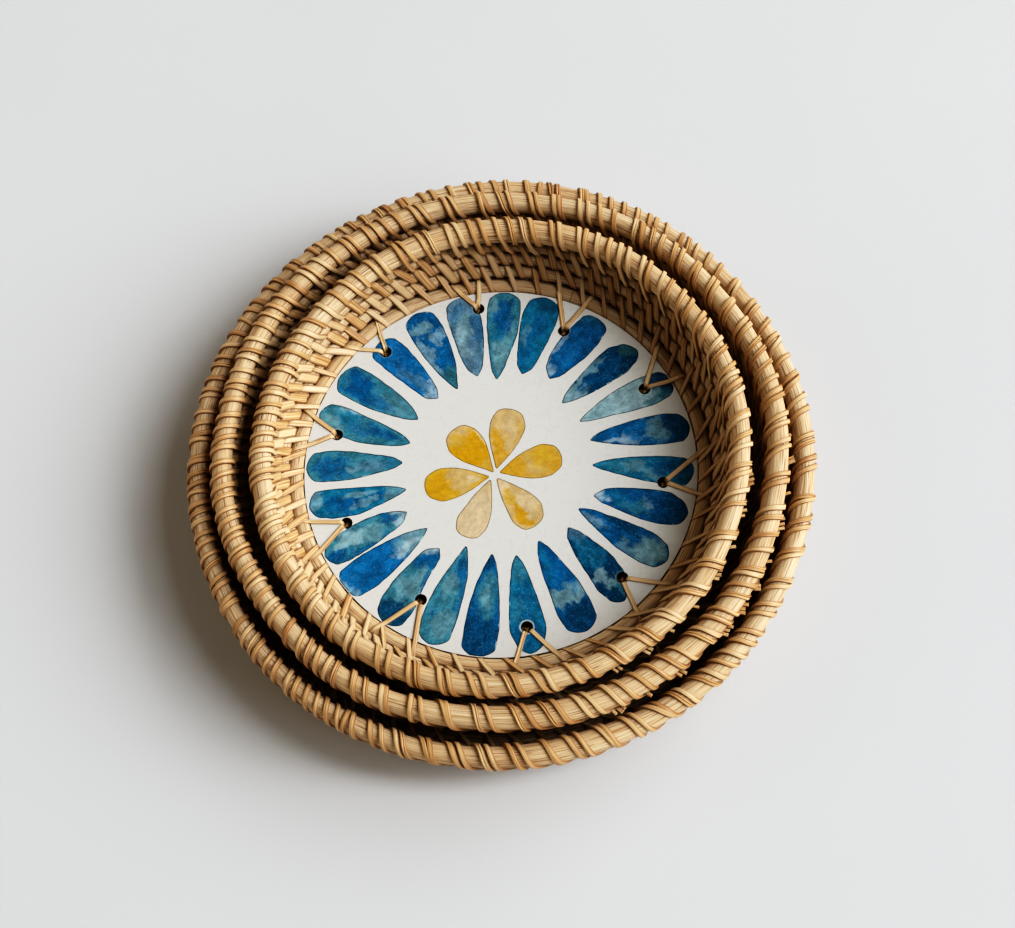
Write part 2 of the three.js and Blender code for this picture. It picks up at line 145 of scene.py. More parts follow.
# How each petal is dyed: the ground colour, then the pools of dye on it. A pool has its
# place along the petal and across it (1 is the left edge), its reach both ways, its colour
# and how strong it is.
BLUE_DYE = [
    ("cobalt", (0.05, 0, 0.10, 1.2, "navy", 0.7), (0.34, -0.45, 0.17, 0.45, "pale", 0.75),
     (0.47, 0.1, 0.14, 0.7, "bright", 0.9), (0.69, 0.05, 0.11, 0.7, "grey", 0.7), (0.92, 0, 0.14, 1.3, "navy", 0.8)),
    ("ash", (0.98, 0, 0.18, 1.4, "navy", 1.0), (0.80, -0.7, 0.13, 0.4, "teal", 0.6), (0.20, 0.1, 0.15, 0.6, "grey", 0.5)),
    ("navy", (0.09, 0, 0.18, 1.5, "ash", 1.0), (0.50, 0, 0.26, 0.8, "cobalt", 0.55), (0.40, 0.85, 0.2, 0.25, "grey", 0.7),
     (0.97, 0.5, 0.12, 0.6, "green", 0.9), (1.0, -0.2, 0.07, 0.6, "green", 0.8)),
    ("cobalt", (0.06, 0.5, 0.12, 0.6, "pale", 0.6), (0.45, 0.98, 0.30, 0.16, "pale", 0.6), (0.35, -0.1, 0.2, 0.6, "bright", 0.6),
     (0.95, 0.2, 0.10, 0.7, "teal", 0.45)),
    ("lake", (0.30, 0.4, 0.22, 0.5, "cobalt", 0.6), (0.62, -0.1, 0.16, 0.5, "cobalt", 0.6), (0.45, 0.7, 0.12, 0.2, "grey", 0.4),
     (0.95, 0, 0.1, 1.2, "navy", 0.5)),
    ("teal", (0.28, -0.2, 0.2, 0.7, "grey", 0.65), (0.62, -0.5, 0.10, 0.4, "ash", 0.55), (0.74, 0, 0.2, 0.6, "cobalt", 0.95),
     (0.86, 0.75, 0.12, 0.3, "grey", 0.6), (0.50, 0.4, 0.12, 0.4, "lake", 0.6)),
    ("slate", (0.45, 0.5, 0.2, 0.5, "ash", 0.8), (0.70, 0, 0.15, 0.4, "grey", 0.7), (0.55, -0.65, 0.2, 0.35, "cobalt", 0.55),
     (0.85, 0.35, 0.1, 0.5, "cobalt", 0.4)),
    ("cobalt", (0.10, 0, 0.15, 1.2, "green", 0.85), (0.46, 0.65, 0.22, 0.35, "ash", 0.75), (0.66, -0.5, 0.06, 0.5, "ash", 0.7),
     (0.80, 0.25, 0.07, 0.6, "grey", 0.75), (0.45, -0.2, 0.14, 0.4, "bright", 0.7)),
    ("bright", (0.05, 0, 0.13, 1.3, "pale", 0.75), (0.26, 0.1, 0.12, 0.5, "slate", 0.6), (0.50, 0.4, 0.1, 0.4, "slate", 0.45),
     (0.62, -0.2, 0.15, 0.5, "cobalt", 0.5)),
    ("teal", (0.77, 0.05, 0.22, 0.85, "cobalt", 1.0), (0.46, 0.5, 0.16, 0.4, "cobalt", 0.7), (0.22, 0, 0.2, 1.0, "grey", 0.3),
     (0.97, 0.2, 0.06, 0.9, "teal", 0.5)),
    ("teal", (0.28, -0.2, 0.15, 0.5, "cobalt", 0.8), (0.53, 0.25, 0.15, 0.45, "cobalt", 0.55), (0.70, -0.4, 0.13, 0.45, "lake", 0.7),
     (0.85, 0.3, 0.12, 0.5, "grey", 0.5), (0.62, -0.95, 0.18, 0.2, "pale", 0.55)),
    ("teal", (0.72, 0.15, 0.18, 0.8, "cobalt", 0.8), (0.30, 0.1, 0.2, 0.6, "slate", 0.6), (0.50, 0.3, 0.08, 0.3, "grey", 0.5),
     (0.10, 0, 0.1, 1.0, "lake", 0.5)),
    ("lake", (0.30, 0.1, 0.09, 0.45, "cobalt", 0.85), (0.62, 0.2, 0.17, 0.6, "cobalt", 1.0), (0.43, 0.5, 0.1, 0.4, "ash", 0.6),
     (0.48, -0.5, 0.12, 0.35, "grey", 0.65), (0.95, -0.2, 0.1, 0.9, "ash", 0.6), (0.10, 0, 0.12, 1.2, "grey", 0.6)),
    ("teal", (0.05, 0, 0.10, 1.3, "pale", 0.8), (0.20, -0.3, 0.11, 0.6, "cobalt", 0.85), (0.42, 0.1, 0.15, 0.5, "grey", 0.6),
     (0.68, -0.3, 0.17, 0.5, "ash", 0.9), (0.91, 0.4, 0.12, 0.6, "cobalt", 1.0), (0.55, 0.85, 0.22, 0.25, "cobalt", 0.7)),
    ("bright", (0.12, 0, 0.2, 1.4, "grey", 0.85), (0.29, 0.3, 0.12, 0.4, "pale", 0.75), (0.99, 0, 0.07, 1.0, "ash", 0.7),
     (0.70, 0.2, 0.18, 0.5, "cobalt", 0.5)),
    ("teal", (0.03, 0, 0.07, 1.3, "pale", 1.0), (0.18, 0, 0.11, 1.1, "cobalt", 0.95), (0.50, 0, 0.2, 0.7, "grey", 0.55),
     (0.88, 0, 0.15, 1.2, "navy", 0.95), (0.40, 0.75, 0.12, 0.25, "cobalt", 0.6)),
    ("teal", (0.20, 0.3, 0.12, 0.6, "cobalt", 0.8), (0.45, 0.85, 0.25, 0.25, "cobalt", 0.6), (0.38, -0.1, 0.12, 0.5, "grey", 0.55),
     (0.68, -0.35, 0.08, 0.3, "cobalt", 0.6), (0.80, 0.35, 0.16, 0.5, "grey", 0.45)),
    ("cobalt", (0.38, 0.1, 0.2, 0.9, "teal", 0.85), (0.40, 0.15, 0.10, 0.35, "grey", 0.6), (0.82, 0, 0.2, 1.3, "navy", 0.7),
     (0.03, 0, 0.08, 1.3, "navy", 0.8)),
    ("lake", (0.12, 0, 0.15, 1.3, "teal", 0.7), (0.82, -0.2, 0.2, 0.9, "cobalt", 0.55), (0.42, 0.2, 0.15, 0.5, "cobalt", 0.35),
     (0.55, -0.4, 0.12, 0.4, "teal", 0.5)),
    ("cobalt", (0.22, -0.4, 0.2, 0.4, "lake", 0.6), (0.60, 0, 0.10, 1.2, "grey", 0.85), (0.84, 0.1, 0.13, 0.9, "navy", 0.85),
     (0.44, 0.25, 0.1, 0.4, "bright", 0.6)),
    ("navy", (0.07, 0.2, 0.12, 0.8, "slate", 0.6), (0.34, 0.1, 0.2, 0.7, "lake", 0.7), (0.62, -0.45, 0.07, 0.5, "ash", 0.8),
     (0.76, 0.1, 0.07, 0.5, "grey", 0.8), (0.88, 0.5, 0.06, 0.4, "teal", 0.7)),
    ("cobalt", (0.45, 0.6, 0.2, 0.45, "navy", 0.9), (0.86, -0.1, 0.17, 0.9, "grey", 0.9), (0.18, -0.3, 0.12, 0.5, "ash", 0.6),
     (0.64, -0.65, 0.14, 0.3, "grey", 0.6)),
    ("cobalt", (0.02, 0, 0.11, 1.4, "pale", 1.0), (0.40, -0.3, 0.16, 0.5, "teal", 0.65), (0.55, 0.1, 0.06, 0.25, "ash", 0.6),
     (0.88, 0, 0.18, 1.3, "navy", 0.7), (0.22, 0.2, 0.12, 0.6, "lake", 0.6)),
    ("lake", (0.25, 0, 0.15, 0.7, "teal", 0.65), (0.42, 0.1, 0.1, 0.4, "grey", 0.55), (0.60, -0.3, 0.1, 0.5, "grey", 0.5),
     (0.72, 0.3, 0.16, 0.5, "cobalt", 0.85), (0.95, 0, 0.1, 1.2, "navy", 0.6)),
]
YELLOW_DYE = [
    ("mustard", (0.18, 0, 0.2, 1.2, "amber", 0.7), (0.55, 0, 0.12, 0.5, "tan", 0.65), (0.76, 0.3, 0.2, 0.6, "gold", 0.9),
     (0.88, -0.7, 0.14, 0.35, "amber", 0.6)),
    ("tan", (0.14, 0, 0.2, 1.2, "amber", 0.75), (0.45, 0.4, 0.17, 0.5, "amber", 0.85), (0.70, -0.2, 0.18, 0.5, "beige", 0.4),
     (0.62, -0.8, 0.2, 0.25, "mustard", 0.6)),
    ("amber", (0.94, 0, 0.15, 1.4, "tan", 0.9), (0.80, 0.45, 0.13, 0.4, "gold", 0.7), (0.60, -0.95, 0.16, 0.2, "cream", 0.6),
     (0.10, 0, 0.15, 1.2, "mustard", 0.6)),
    ("gold", (0.38, -0.2, 0.24, 0.9, "tan", 0.85), (0.26, 0.1, 0.07, 0.4, "cream", 0.6), (0.82, 0.2, 0.2, 0.9, "amber", 0.8)),
    ("beige", (0.08, 0, 0.15, 1.2, "tan", 0.5), (0.88, 0.4, 0.15, 0.6, "cream", 0.5), (0.45, -0.3, 0.2, 0.4, "cream", 0.35)),
    ("tan", (0.11, 0, 0.12, 0.9, "cream", 0.75), (0.38, -0.3, 0.18, 0.5, "gold", 0.7), (0.76, -0.45, 0.19, 0.45, "amber", 0.9),
     (0.62, 0.5, 0.2, 0.45, "beige", 0.7)),
]
# The two outer trays carry the same inlay, dyed less one by one.
OUTER_BLUE = ("cobalt", (0.20, 0.2, 0.16, 0.8, "teal", 0.7), (0.45, -0.3, 0.16, 0.6, "lake", 0.7), (0.62, 0.3, 0.15, 0.6, "grey", 0.6),
              (0.90, 0, 0.16, 1.2, "navy", 0.7))
OUTER_YELLOW = ("mustard", (0.20, 0, 0.2, 1.2, "amber", 0.6), (0.50, 0.2, 0.15, 0.6, "tan", 0.7), (0.80, -0.1, 0.2, 0.8, "gold", 0.7))


def even_lacing(panel, turn):
    rows = []
    for i in range(10):
        bearing = turn + i * 36
        t = math.radians(bearing)
        rows.append(((panel - 11) * math.cos(t), (panel - 11) * math.sin(t), bearing + 5.5, bearing - 5.5))
    return rows


def harmonics(rng, low, high, size):
    """A smooth closed wander round the tray, about size millimetres either way."""
    k = np.arange(low, high + 1)
    amp = rng.normal(size=k.size) / np.sqrt(k.size)
    phase = rng.uniform(0, TAU, k.size)

    def wander(t):
        t = np.asarray(t, float)
        return size * np.sum(amp * np.cos(t[..., None] * k + phase), axis=-1)
    return wander


class Tray:
    def __init__(self, name, level, panel, rim, rim_z, coil, coils, foot, top, oval, periods, crowd, lacing, stout, seed):
        self.name, self.body, self.z0 = name, name + "_tray", level * NEST_STEP
        self.panel, self.rim, self.rim_z, self.coil = panel, rim, rim_z, coil
        self.foot, self.top, self.oval = foot, top, oval
        self.periods, self.lacing, self.stout, self.seed = periods, lacing, stout, seed
        self.ring_r = panel + 0.4 + 3.9
        self.line = np.array([(self.ring_r, RING_MID), *((self.ring_r + o, z) for o, z in coils), (rim, rim_z)])
        rng = np.random.default_rng(seed)
        self.wander_r = harmonics(rng, 3, 8, 0.35)
        self.wander_z = harmonics(rng, 2, 7, 0.30)
        # The strips stand closer together on one side of a tray than on the other.
        t = np.linspace(0, TAU, 1441)
        away = np.abs((t - math.radians(crowd[0]) + math.pi) % TAU - math.pi) / math.radians(crowd[1])
        beyond = np.abs((t - math.radians(55) + math.pi) % TAU - math.pi) / math.radians(70)
        density = 1 + crowd[2] * np.exp(-away**2) + crowd[3] * np.exp(-beyond**2) + harmonics(rng, 2, 9, 0.10)(t)
        total = np.concatenate([[0], np.cumsum((density[1:] + density[:-1]) / 2)])
        self._bearings, self._phases = t, total / total[-1] * periods

    def along(self, i):
        """Direction of the wall at rod i, in the radius and height plane."""
        step = self.line[min(i + 1, 4)] - self.line[max(i - 1, 0)]
        return step / np.linalg.norm(step)

    def bearing(self, phase):
        turns = np.floor(np.asarray(phase) / self.periods)
        return np.interp(phase - turns * self.periods, self._phases, self._bearings) + turns * TAU

    def clean(self, t):
        """How strongly the painted shade shows at a bearing: on the smallest tray it is weaker round bearing 165, where
        the inner wall faces the light, and stronger round bearing 40, where it faces away.
        """
        side = np.clip(np.cos(np.asarray(t, float) - math.radians(165)), 0, 1)
        far = np.clip(np.cos(np.asarray(t, float) - math.radians(40)), 0, 1)
        return 1 + (0.35 * far - 0.8 * side if self.name == "small" else 0.0 * side)

    def far_shade(self, t):
        """Painted shade on the far side of the smallest tray, round bearing 50, whose inner wall faces away from the
        light.
        """
        far = np.clip(np.cos(np.asarray(t, float) - math.radians(50)), 0, 1)
        return (0.5 if self.name == "small" else 0.0) * far

    def place(self, r, t, z):
        """Points at radius, bearing and height, eased onto the tray's own rim, which is stouter in places."""
        r, t, z = np.broadcast_arrays(np.asarray(r, float), np.asarray(t, float), np.asarray(z, float))
        k = np.clip((z - FACE_TOP) / (self.rim_z - FACE_TOP), 0, 1)
        grow, push = np.zeros(t.shape), np.zeros(t.shape)
        for bearing, spread, growth, shift in self.stout:
            near = np.exp(-((np.degrees(t) - bearing + 180) % 360 - 180) ** 2 / spread**2)
            grow, push = grow + growth * near, push + shift * near
        grow = grow * (1 - ease(np.hypot(r - self.rim, z - self.rim_z), 6.5, 10.5))
        r, z = r + (r - self.rim) * grow + push * k, z + (z - self.rim_z) * grow
        rr = r * (1 + k * (self.oval[0] * np.cos(2 * t) + self.oval[1] * np.sin(2 * t))) + k * self.wander_r(t)
        x = rr * np.cos(t) + self.foot[0] + (self.top[0] - self.foot[0]) * k
        y = rr * np.sin(t) + self.foot[1] + (self.top[1] - self.foot[1]) * k
        return np.stack([x, y, z + k * self.wander_z(t) + self.z0], axis=-1)


TRAYS = [
    Tray("large", 0, 116.62, 134.45, 33.05, 3.5, [(6.5, 8.9), (10.0, 16.1), (12.0, 23.8)],
         (0, 0), (0, 0), (-0.0023, 0.0007), 70, (185, 55, 0.30, 0.0), even_lacing(116.62, 4),
         [(210, 42, -0.14, 0.78), (281, 17, 0.17, -0.95), (80, 40, 0.0, 1.0)], 11),
    Tray("medium", 1, 105.13, 122.96, 33.85, 3.6, [(6.5, 9.0), (10.0, 16.4), (12.0, 24.4)],
         (0.8, 1.56), (0.35, 2.3), (-0.0037, 0.0003), 62, (185, 50, 0.30, 0.12), even_lacing(105.13, 20),
         [(320, 60, 0.13, -0.75), (268, 22, 0.08, -0.45)], 23),
    Tray("small", 2, 88.4, 106.23, 30.65, 3.2, [(6.4, 8.4), (9.7, 14.75), (11.9, 21.6)],
         (-0.3, 0.67), (0.77, 0.06), (-0.0113, 0.0102), 54, (185, 34, 0.62, 0.22), SMALL_LACING,
         [(82, 42, 0.16, 0.9), (180, 22, 0.0, 0.6)], 37),
]

# ------------------------------------------------------------ mesh building


class Build:
    """Collects closed shells into one mesh, with numbers for the materials to read."""

    def __init__(self, *extra):
        self.points, self.grain, self.tone = [], [], []
        self.extra = {name: [] for name in extra}
        self.quads, self.tris, self.caps = [], [], []
        self.count = 0

    def _add(self, points, grain, tone, extra):
        base = self.count
        self.points.append(points)
        self.grain.append(grain)
        self.tone.append(np.broadcast_to(np.asarray(tone, float), (len(points),)))
        for name in self.extra:
            self.extra[name].append(np.asarray(extra[name], float))
        self.count += len(points)
        return base

    def tube(self, points, grain, tone, **extra):
        """A shell from rows of points: rows run along it, columns go round it."""
        n, m = points.shape[:2]
        flat = points.reshape(-1, 3)
        base = self._add(flat, grain.reshape(-1, 3), tone, extra)
        i, j = np.meshgrid(np.arange(n - 1), np.arange(m), indexing="ij")
        jn = (j + 1) % m
        quads = np.stack([i * m + j, i * m + jn, (i + 1) * m + jn, (i + 1) * m + j], axis=-1).reshape(-1, 4)
        a, b, c, d = (flat[quads[:, q]] - flat[0] for q in range(4))
        volume = np.sum(a * np.cross(b, c)) + np.sum(a * np.cross(c, d))
        ends = [np.arange(m)[::-1], (n - 1) * m + np.arange(m)]
        if volume < 0:
            quads = quads[:, ::-1]
            ends = [e[::-1] for e in ends]
        self.quads.append(quads + base)
        self.caps += [list(e + base) for e in ends]

    def shell(self, points, faces, grain, tone, **extra):
        """A shell from points and faces of three or four corners."""
        base = self._add(points, grain, tone, extra)
        tris = [f for f in faces if len(f) == 3]
        quads = [f for f in faces if len(f) == 4]
        if tris:
            self.tris.append(np.array(tris) + base)
        if quads:
            self.quads.append(np.array(quads) + base)

    def make(self, name, tray, material, replaced=(), sharp=42):
        points = np.concatenate(self.points) * MM
        loops, starts, at = [], [], 0
        for group, size in ((self.quads, 4), (self.tris, 3)):
            if group:
                block = np.concatenate(group)
                loops.append(block.reshape(-1))
                starts.append(at + size * np.arange(len(block)))
                at += block.size
        for cap in self.caps:
            loops.append(np.array(cap))
            starts.append(np.array([at]))
            at += len(cap)
        loops, starts = np.concatenate(loops), np.concatenate(starts)
        mesh = bpy.data.meshes.new(name)
        mesh.vertices.add(len(points))
        mesh.vertices.foreach_set("co", points.astype(np.float32).ravel())
        mesh.loops.add(len(loops))
        mesh.loops.foreach_set("vertex_index", loops.astype(np.int32))
        mesh.polygons.add(len(starts))
        mesh.polygons.foreach_set("loop_start", starts.astype(np.int32))
        mesh.update(calc_edges=True)
        mesh.validate()
        grain = mesh.attributes.new("grain", "FLOAT_VECTOR", "POINT")
        grain.data.foreach_set("vector", np.concatenate(self.grain).astype(np.float32).ravel())
        tone = mesh.attributes.new("tone", "FLOAT", "POINT")
        tone.data.foreach_set("value", np.concatenate(self.tone).astype(np.float32))
        for key, blocks in self.extra.items():
            layer = mesh.attributes.new(key, "FLOAT", "POINT")
            layer.data.foreach_set("value", np.concatenate(blocks).astype(np.float32))
        mesh.polygons.foreach_set("use_smooth", np.ones(len(starts), bool))
        mesh.set_sharp_from_angle(angle=math.radians(sharp))
        mesh.materials.append(material)
        piece = bpy.data.objects.new(name, mesh)
        scene.collection.objects.link(piece)
        if replaced:
            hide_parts(*replaced)
        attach(piece, tray.body)
        return piece


def oval_section(centre, e1, h1, e2, h2, power, sides, turn=0.0):
    """A rounded section about a centre in the radius and height plane."""
    q = turn + np.arange(sides) * TAU / sides
    x = np.sign(np.cos(q)) * np.abs(np.cos(q)) ** (2 / power) * h1
    y = np.sign(np.sin(q)) * np.abs(np.sin(q)) ** (2 / power) * h2
    return np.outer(x, e1) + np.outer(y, e2) + centre, np.stack([x, y], axis=1)


def ease(value, low, high):
    s = np.clip((np.asarray(value, float) - low) / (high - low), 0, 1)
    return s * s * (3 - 2 * s)


def rod(build, tray, centre, e1, h1, e2, h2, power, start, steps, sides, seed, painted_shade, far_shaded):
    """A rattan rod bent once round the tray; its two ends meet at start."""
    rng = np.random.default_rng(seed)
    t = np.linspace(start, start + TAU - 0.0025, steps + 1)
    _, local = oval_section(np.zeros(2), e1, h1, e2, h2, power, sides, math.pi / sides)
    swell = 1 + harmonics(rng, 6, 46, 0.016)(t)
    d1, d2 = harmonics(rng, 5, 20, 0.09)(t), harmonics(rng, 5, 20, 0.09)(t)
    x = local[None, :, 0] * swell[:, None]
    y = local[None, :, 1] * swell[:, None]
    r = centre[0] + e1[0] * (x + d1[:, None]) + e2[0] * (y + d2[:, None])
    z = centre[1] + e1[1] * (x + d1[:, None]) + e2[1] * (y + d2[:, None])
    points = tray.place(r, t[:, None], z)
    grain = np.stack([np.broadcast_to((t * centre[0])[:, None], x.shape), x, y], axis=-1)
    grain = grain + np.array([seed * 313.0, 0, 0])
    # Painted shade: the section pattern darkens the rod where it lies against the next rod, on its outer side or
    # underneath, scaled round the tray by bearing, plus painted shade on the far side of the smallest tray.
    shade = tray.clean(t)[:, None] * painted_shade(local[:, 0] / h1, local[:, 1] / h2)[None, :]
    shade = np.clip(shade + far_shaded * tray.far_shade(t)[:, None], 0, 1)
    build.tube(points, grain, rng.uniform(0.3, 0.7), shade=shade.ravel())


ACROSS = np.array([-0.47, -0.51, -0.43, -0.19, 0.0, 0.19, 0.43, 0.51, 0.47])
RISE = np.array([0.0, 0.50, 0.86, 0.99, 1.0, 0.99, 0.86, 0.50, 0.0])
DIP = np.array([0, 0, 0, 0.1, 1, 0.1, 0, 0, 0])


def strip(build, points, normals, width, thick, groove, tone, offset, shade=0.0, low=None):
    """A flat peel strip along points, lying on the side that normals leave, worn flat below low."""
    tangent = np.gradient(points, axis=0)
    tangent /= np.linalg.norm(tangent, axis=1, keepdims=True)
    side = np.cross(tangent, normals)
    side /= np.linalg.norm(side, axis=1, keepdims=True)
    lift = np.cross(side, tangent)
    along = np.concatenate([[0], np.cumsum(np.linalg.norm(np.diff(points, axis=0), axis=1))])
    width = np.broadcast_to(np.asarray(width, float), along.shape)
    across = ACROSS[None, :] * width[:, None]
    rise = np.broadcast_to((RISE - groove * DIP)[None, :] * thick, across.shape)
    shell = points[:, None, :] + side[:, None, :] * across[..., None] + lift[:, None, :] * rise[..., None]
    if low is not None:
        shell[..., 2] = np.maximum(shell[..., 2], low)
    even = across * (2.4 / np.maximum(width, 2.4))[:, None]
    grain = np.stack([np.broadcast_to((along + offset)[:, None], across.shape), even, rise], axis=-1)
    shade = np.broadcast_to(np.broadcast_to(np.asarray(shade, float), along.shape)[:, None], across.shape)
    build.tube(shell, grain, tone, shade=shade.ravel())


def hull(points):
    pts = sorted(map(tuple, points))

    def half(seq):
        out = []
        for p in seq:
            while len(out) > 1 and ((out[-1][0] - out[-2][0]) * (p[1] - out[-2][1])
                                    - (out[-1][1] - out[-2][1]) * (p[0] - out[-2][0])) <= 0:
                out.pop()
            out.append(p)
        return out[:-1]
    return np.array(half(pts) + half(pts[::-1]))


class Band:
    """The line a strip takes tight round one rod or two, up the inside first."""

    def __init__(self, sections, axis, count, reference, trim=0.035, shaded_share=(0.80, 0.97)):
        u = np.asarray(axis) / np.linalg.norm(axis)
        v = np.array([-u[1], u[0]])                      # into the tray
        loop = hull(np.concatenate(sections))
        loop = np.roll(loop, -int(np.argmin(loop @ u)), axis=0)
        if (loop[1] - loop[-1]) @ v < 0:
            loop = np.concatenate([loop[:1], loop[:0:-1]])
        closed = np.concatenate([loop, loop[:1]])
        length = np.concatenate([[0], np.cumsum(np.linalg.norm(np.diff(closed, axis=0), axis=1))])
        total = length[-1]
        fine = np.linspace(0, total, 400)
        path = np.stack([np.interp(fine, length, closed[:, q]) for q in range(2)], axis=1)
        step = np.roll(path[:-1], -2, axis=0) - np.roll(path[:-1], 2, axis=0)
        normal = np.stack([step[:, 1], -step[:, 0]], axis=1)
        if np.sum(normal * (path[:-1] - path.mean(axis=0))) < 0:
            normal = -normal
        normal /= np.linalg.norm(normal, axis=1, keepdims=True)
        normal = np.concatenate([normal, normal[:1]])
        self.l = np.linspace(trim * total, (1 - trim) * total, count)
        self.r, self.z = (np.interp(self.l, fine, path[:, q]) for q in range(2))
        n = np.stack([np.interp(self.l, fine, normal[:, q]) for q in range(2)], axis=1)
        n /= np.linalg.norm(n, axis=1, keepdims=True)
        self.nr, self.nz = n[:, 0], n[:, 1]
        share = self.l / total
        # Painted shade where the strip tucks under at its start and on its outer run towards its end.
        self.shade = np.maximum(1 - ease(share, 0.03, 0.15), ease(share, *shaded_share))
        inside = path @ v > path.mean(axis=0) @ v
        gap = np.abs(path @ u - np.asarray(reference) @ u) + np.where(inside, 0, 1e3)
        self.ref = fine[int(np.argmin(gap))]


def lean_at(bearing, base):
    """Strips lean more on the side of the tray away from the crowded one."""
    return base + 0.29 * np.clip(0.30 + 0.78 * np.cos(bearing + 0.70), 0, 1) ** 0.8


def band_strips(build, tray, band, bearings, base_lean, width, thick, rng, doubled=0.16, stray=0.05,
                tones=(0.12, 1), broader=0.0):
    for bearing in bearings:
        lean = lean_at(bearing, base_lean) + rng.normal(0, 0.07)
        if rng.random() < stray:
            lean += rng.choice([-0.28, 0.28])
        sway = rng.normal(0, 0.30) * np.sin(band.l / band.l[-1] * TAU + rng.uniform(0, TAU))
        t = bearing + (lean * (band.l - band.ref) + sway) / band.r
        points = tray.place(band.r, t, band.z)
        normals = np.stack([band.nr * np.cos(t), band.nr * np.sin(t), band.nz], axis=1)
        w = width * rng.normal(1.0, 0.09) * (1 + 0.05 * np.sin(band.l * 0.35 + rng.uniform(0, TAU)))
        w = w * (1 + broader * np.clip(np.cos(bearing - math.radians(150)), 0, 1))
        groove = rng.uniform(0.34, 0.55) if rng.random() < doubled else rng.uniform(-0.05, 0.1)
        # Painted shade: the stitches are darker on the far side of each tray, round bearing 40, away from the light,
        # and on the smallest tray its far-side painted shade is added too.
        tone = rng.uniform(*tones) - (0.22 * np.clip(np.cos(bearing - math.radians(40)), 0, 1) if broader else 0.0)
        strip(build, points, normals, w, thick * rng.normal(1.0, 0.08), groove, tone, rng.uniform(0, 900),
              np.clip(band.shade * tray.clean(t) + (tray.far_shade(t) if broader else 0.0), 0, 1), tray.z0 + 0.04)


def cut_ends(build, tray, bearings, rng):
    """Short cut ends of peel strip that stand out from under the rim, mostly on one side."""
    s = np.linspace(0, 1, 7)
    for bearing in bearings:
        if rng.random() > np.clip(4.0 * math.cos(bearing - math.radians(314)) - 2.9, 0.0, 0.88):
            continue
        for k in range(rng.integers(1, 4)):
            r = tray.rim + 2.6 + (rng.uniform(5.7, 7.0) - 2.6) * s
            z = tray.rim_z - 3.3 + rng.uniform(0.4, 1.5) * s**0.7
            t = bearing + (2.1 * k + rng.normal(0, 0.15) + 0.45 * (r - r[0])) / tray.rim
            points = tray.place(r, t, z)
            normals = np.broadcast_to(np.array([0.0, 0.0, 1.0]), points.shape)
            # Painted shade: a cut end is darker where it comes out from under the rim.
            strip(build, points, normals, rng.uniform(1.3, 1.85), 0.75, 0.0, rng.uniform(0.55, 1.0),
                  rng.uniform(0, 900), 1 - ease(s, 0.15, 0.7))


# -------------------------------------------------------------- flat pieces


def inside_loop(points, loop):
    """Which points lie inside a closed outline."""
    x, y = points[:, 0][:, None], points[:, 1][:, None]
    x0, y0 = loop[:, 0][None, :], loop[:, 1][None, :]
    x1, y1 = np.roll(loop[:, 0], -1)[None, :], np.roll(loop[:, 1], -1)[None, :]
    cross = (y0 > y) != (y1 > y)
    with np.errstate(divide="ignore", invalid="ignore"):
        hit = cross & (x < (x1 - x0) * (y - y0) / (y1 - y0) + x0)
    return hit.sum(axis=1) % 2 == 1


def loop_distance(points, loop):
    a, b = loop, np.roll(loop, -1, axis=0)
    ab = b - a
    s = np.clip(np.sum((points[:, None] - a) * ab, axis=2) / np.maximum(np.sum(ab * ab, axis=1), 1e-12), 0, 1)
    near = a + s[..., None] * ab
    return np.min(np.linalg.norm(points[:, None] - near, axis=2), axis=1)


def triangulate(outer, cuts, loose=None):
    """Points and triangles of the area inside outer and outside every cut."""
    points, edges = [], []
    for loop in [outer] + list(cuts):
        base = len(points)
        points += [tuple(p) for p in loop]
        edges += [(base + i, base + (i + 1) % len(loop)) for i in range(len(loop))]
    if loose is not None:
        points += [tuple(p) for p in loose]
    verts, _, faces, *_ = delaunay_2d_cdt([Vector(p) for p in points], edges, [], 0, 1e-5)
    verts = np.array([tuple(v) for v in verts])
    faces = np.array([tuple(f) for f in faces if len(f) == 3])
    middle = verts[faces].mean(axis=1)
    keep = inside_loop(middle, outer)
    for cut in cuts:
        keep &= ~inside_loop(middle, cut)
    faces = faces[keep]
    a, b, c = (verts[faces[:, q]] for q in range(3))
    area = (b[:, 0] - a[:, 0]) * (c[:, 1] - a[:, 1]) - (b[:, 1] - a[:, 1]) * (c[:, 0] - a[:, 0])
    faces = faces[np.abs(area) > 1e-7]
    area = area[np.abs(area) > 1e-7]
    faces[area < 0] = faces[area < 0][:, ::-1]
    used = np.unique(faces)
    remap = np.full(len(verts), -1)
    remap[used] = np.arange(len(used))
    return verts[used], remap[faces]


def slab(flat, faces, top, under):
    """A closed plate from a flat triangulation; top and under are heights."""
    n = len(flat)
    top = np.broadcast_to(np.asarray(top, float), (n,))
    under = np.broadcast_to(np.asarray(under, float), (n,))
    points = np.concatenate([np.column_stack([flat, top]), np.column_stack([flat, under])])
    out = [tuple(f) for f in faces] + [tuple(f[::-1] + n) for f in faces]
    seen = {}
    for f in faces:
        for q in range(3):
            a, b = int(f[q]), int(f[(q + 1) % 3])
            if (b, a) in seen:
                del seen[(b, a)]
            else:
                seen[(a, b)] = True
    out += [(b, a, a + n, b + n) for a, b in seen]
    return points, out


def circle(x, y, radius, sides, turn=0.0):
    q = turn + np.arange(sides) * TAU / sides
    return np.column_stack([x + radius * np.cos(q), y + radius * np.sin(q)])


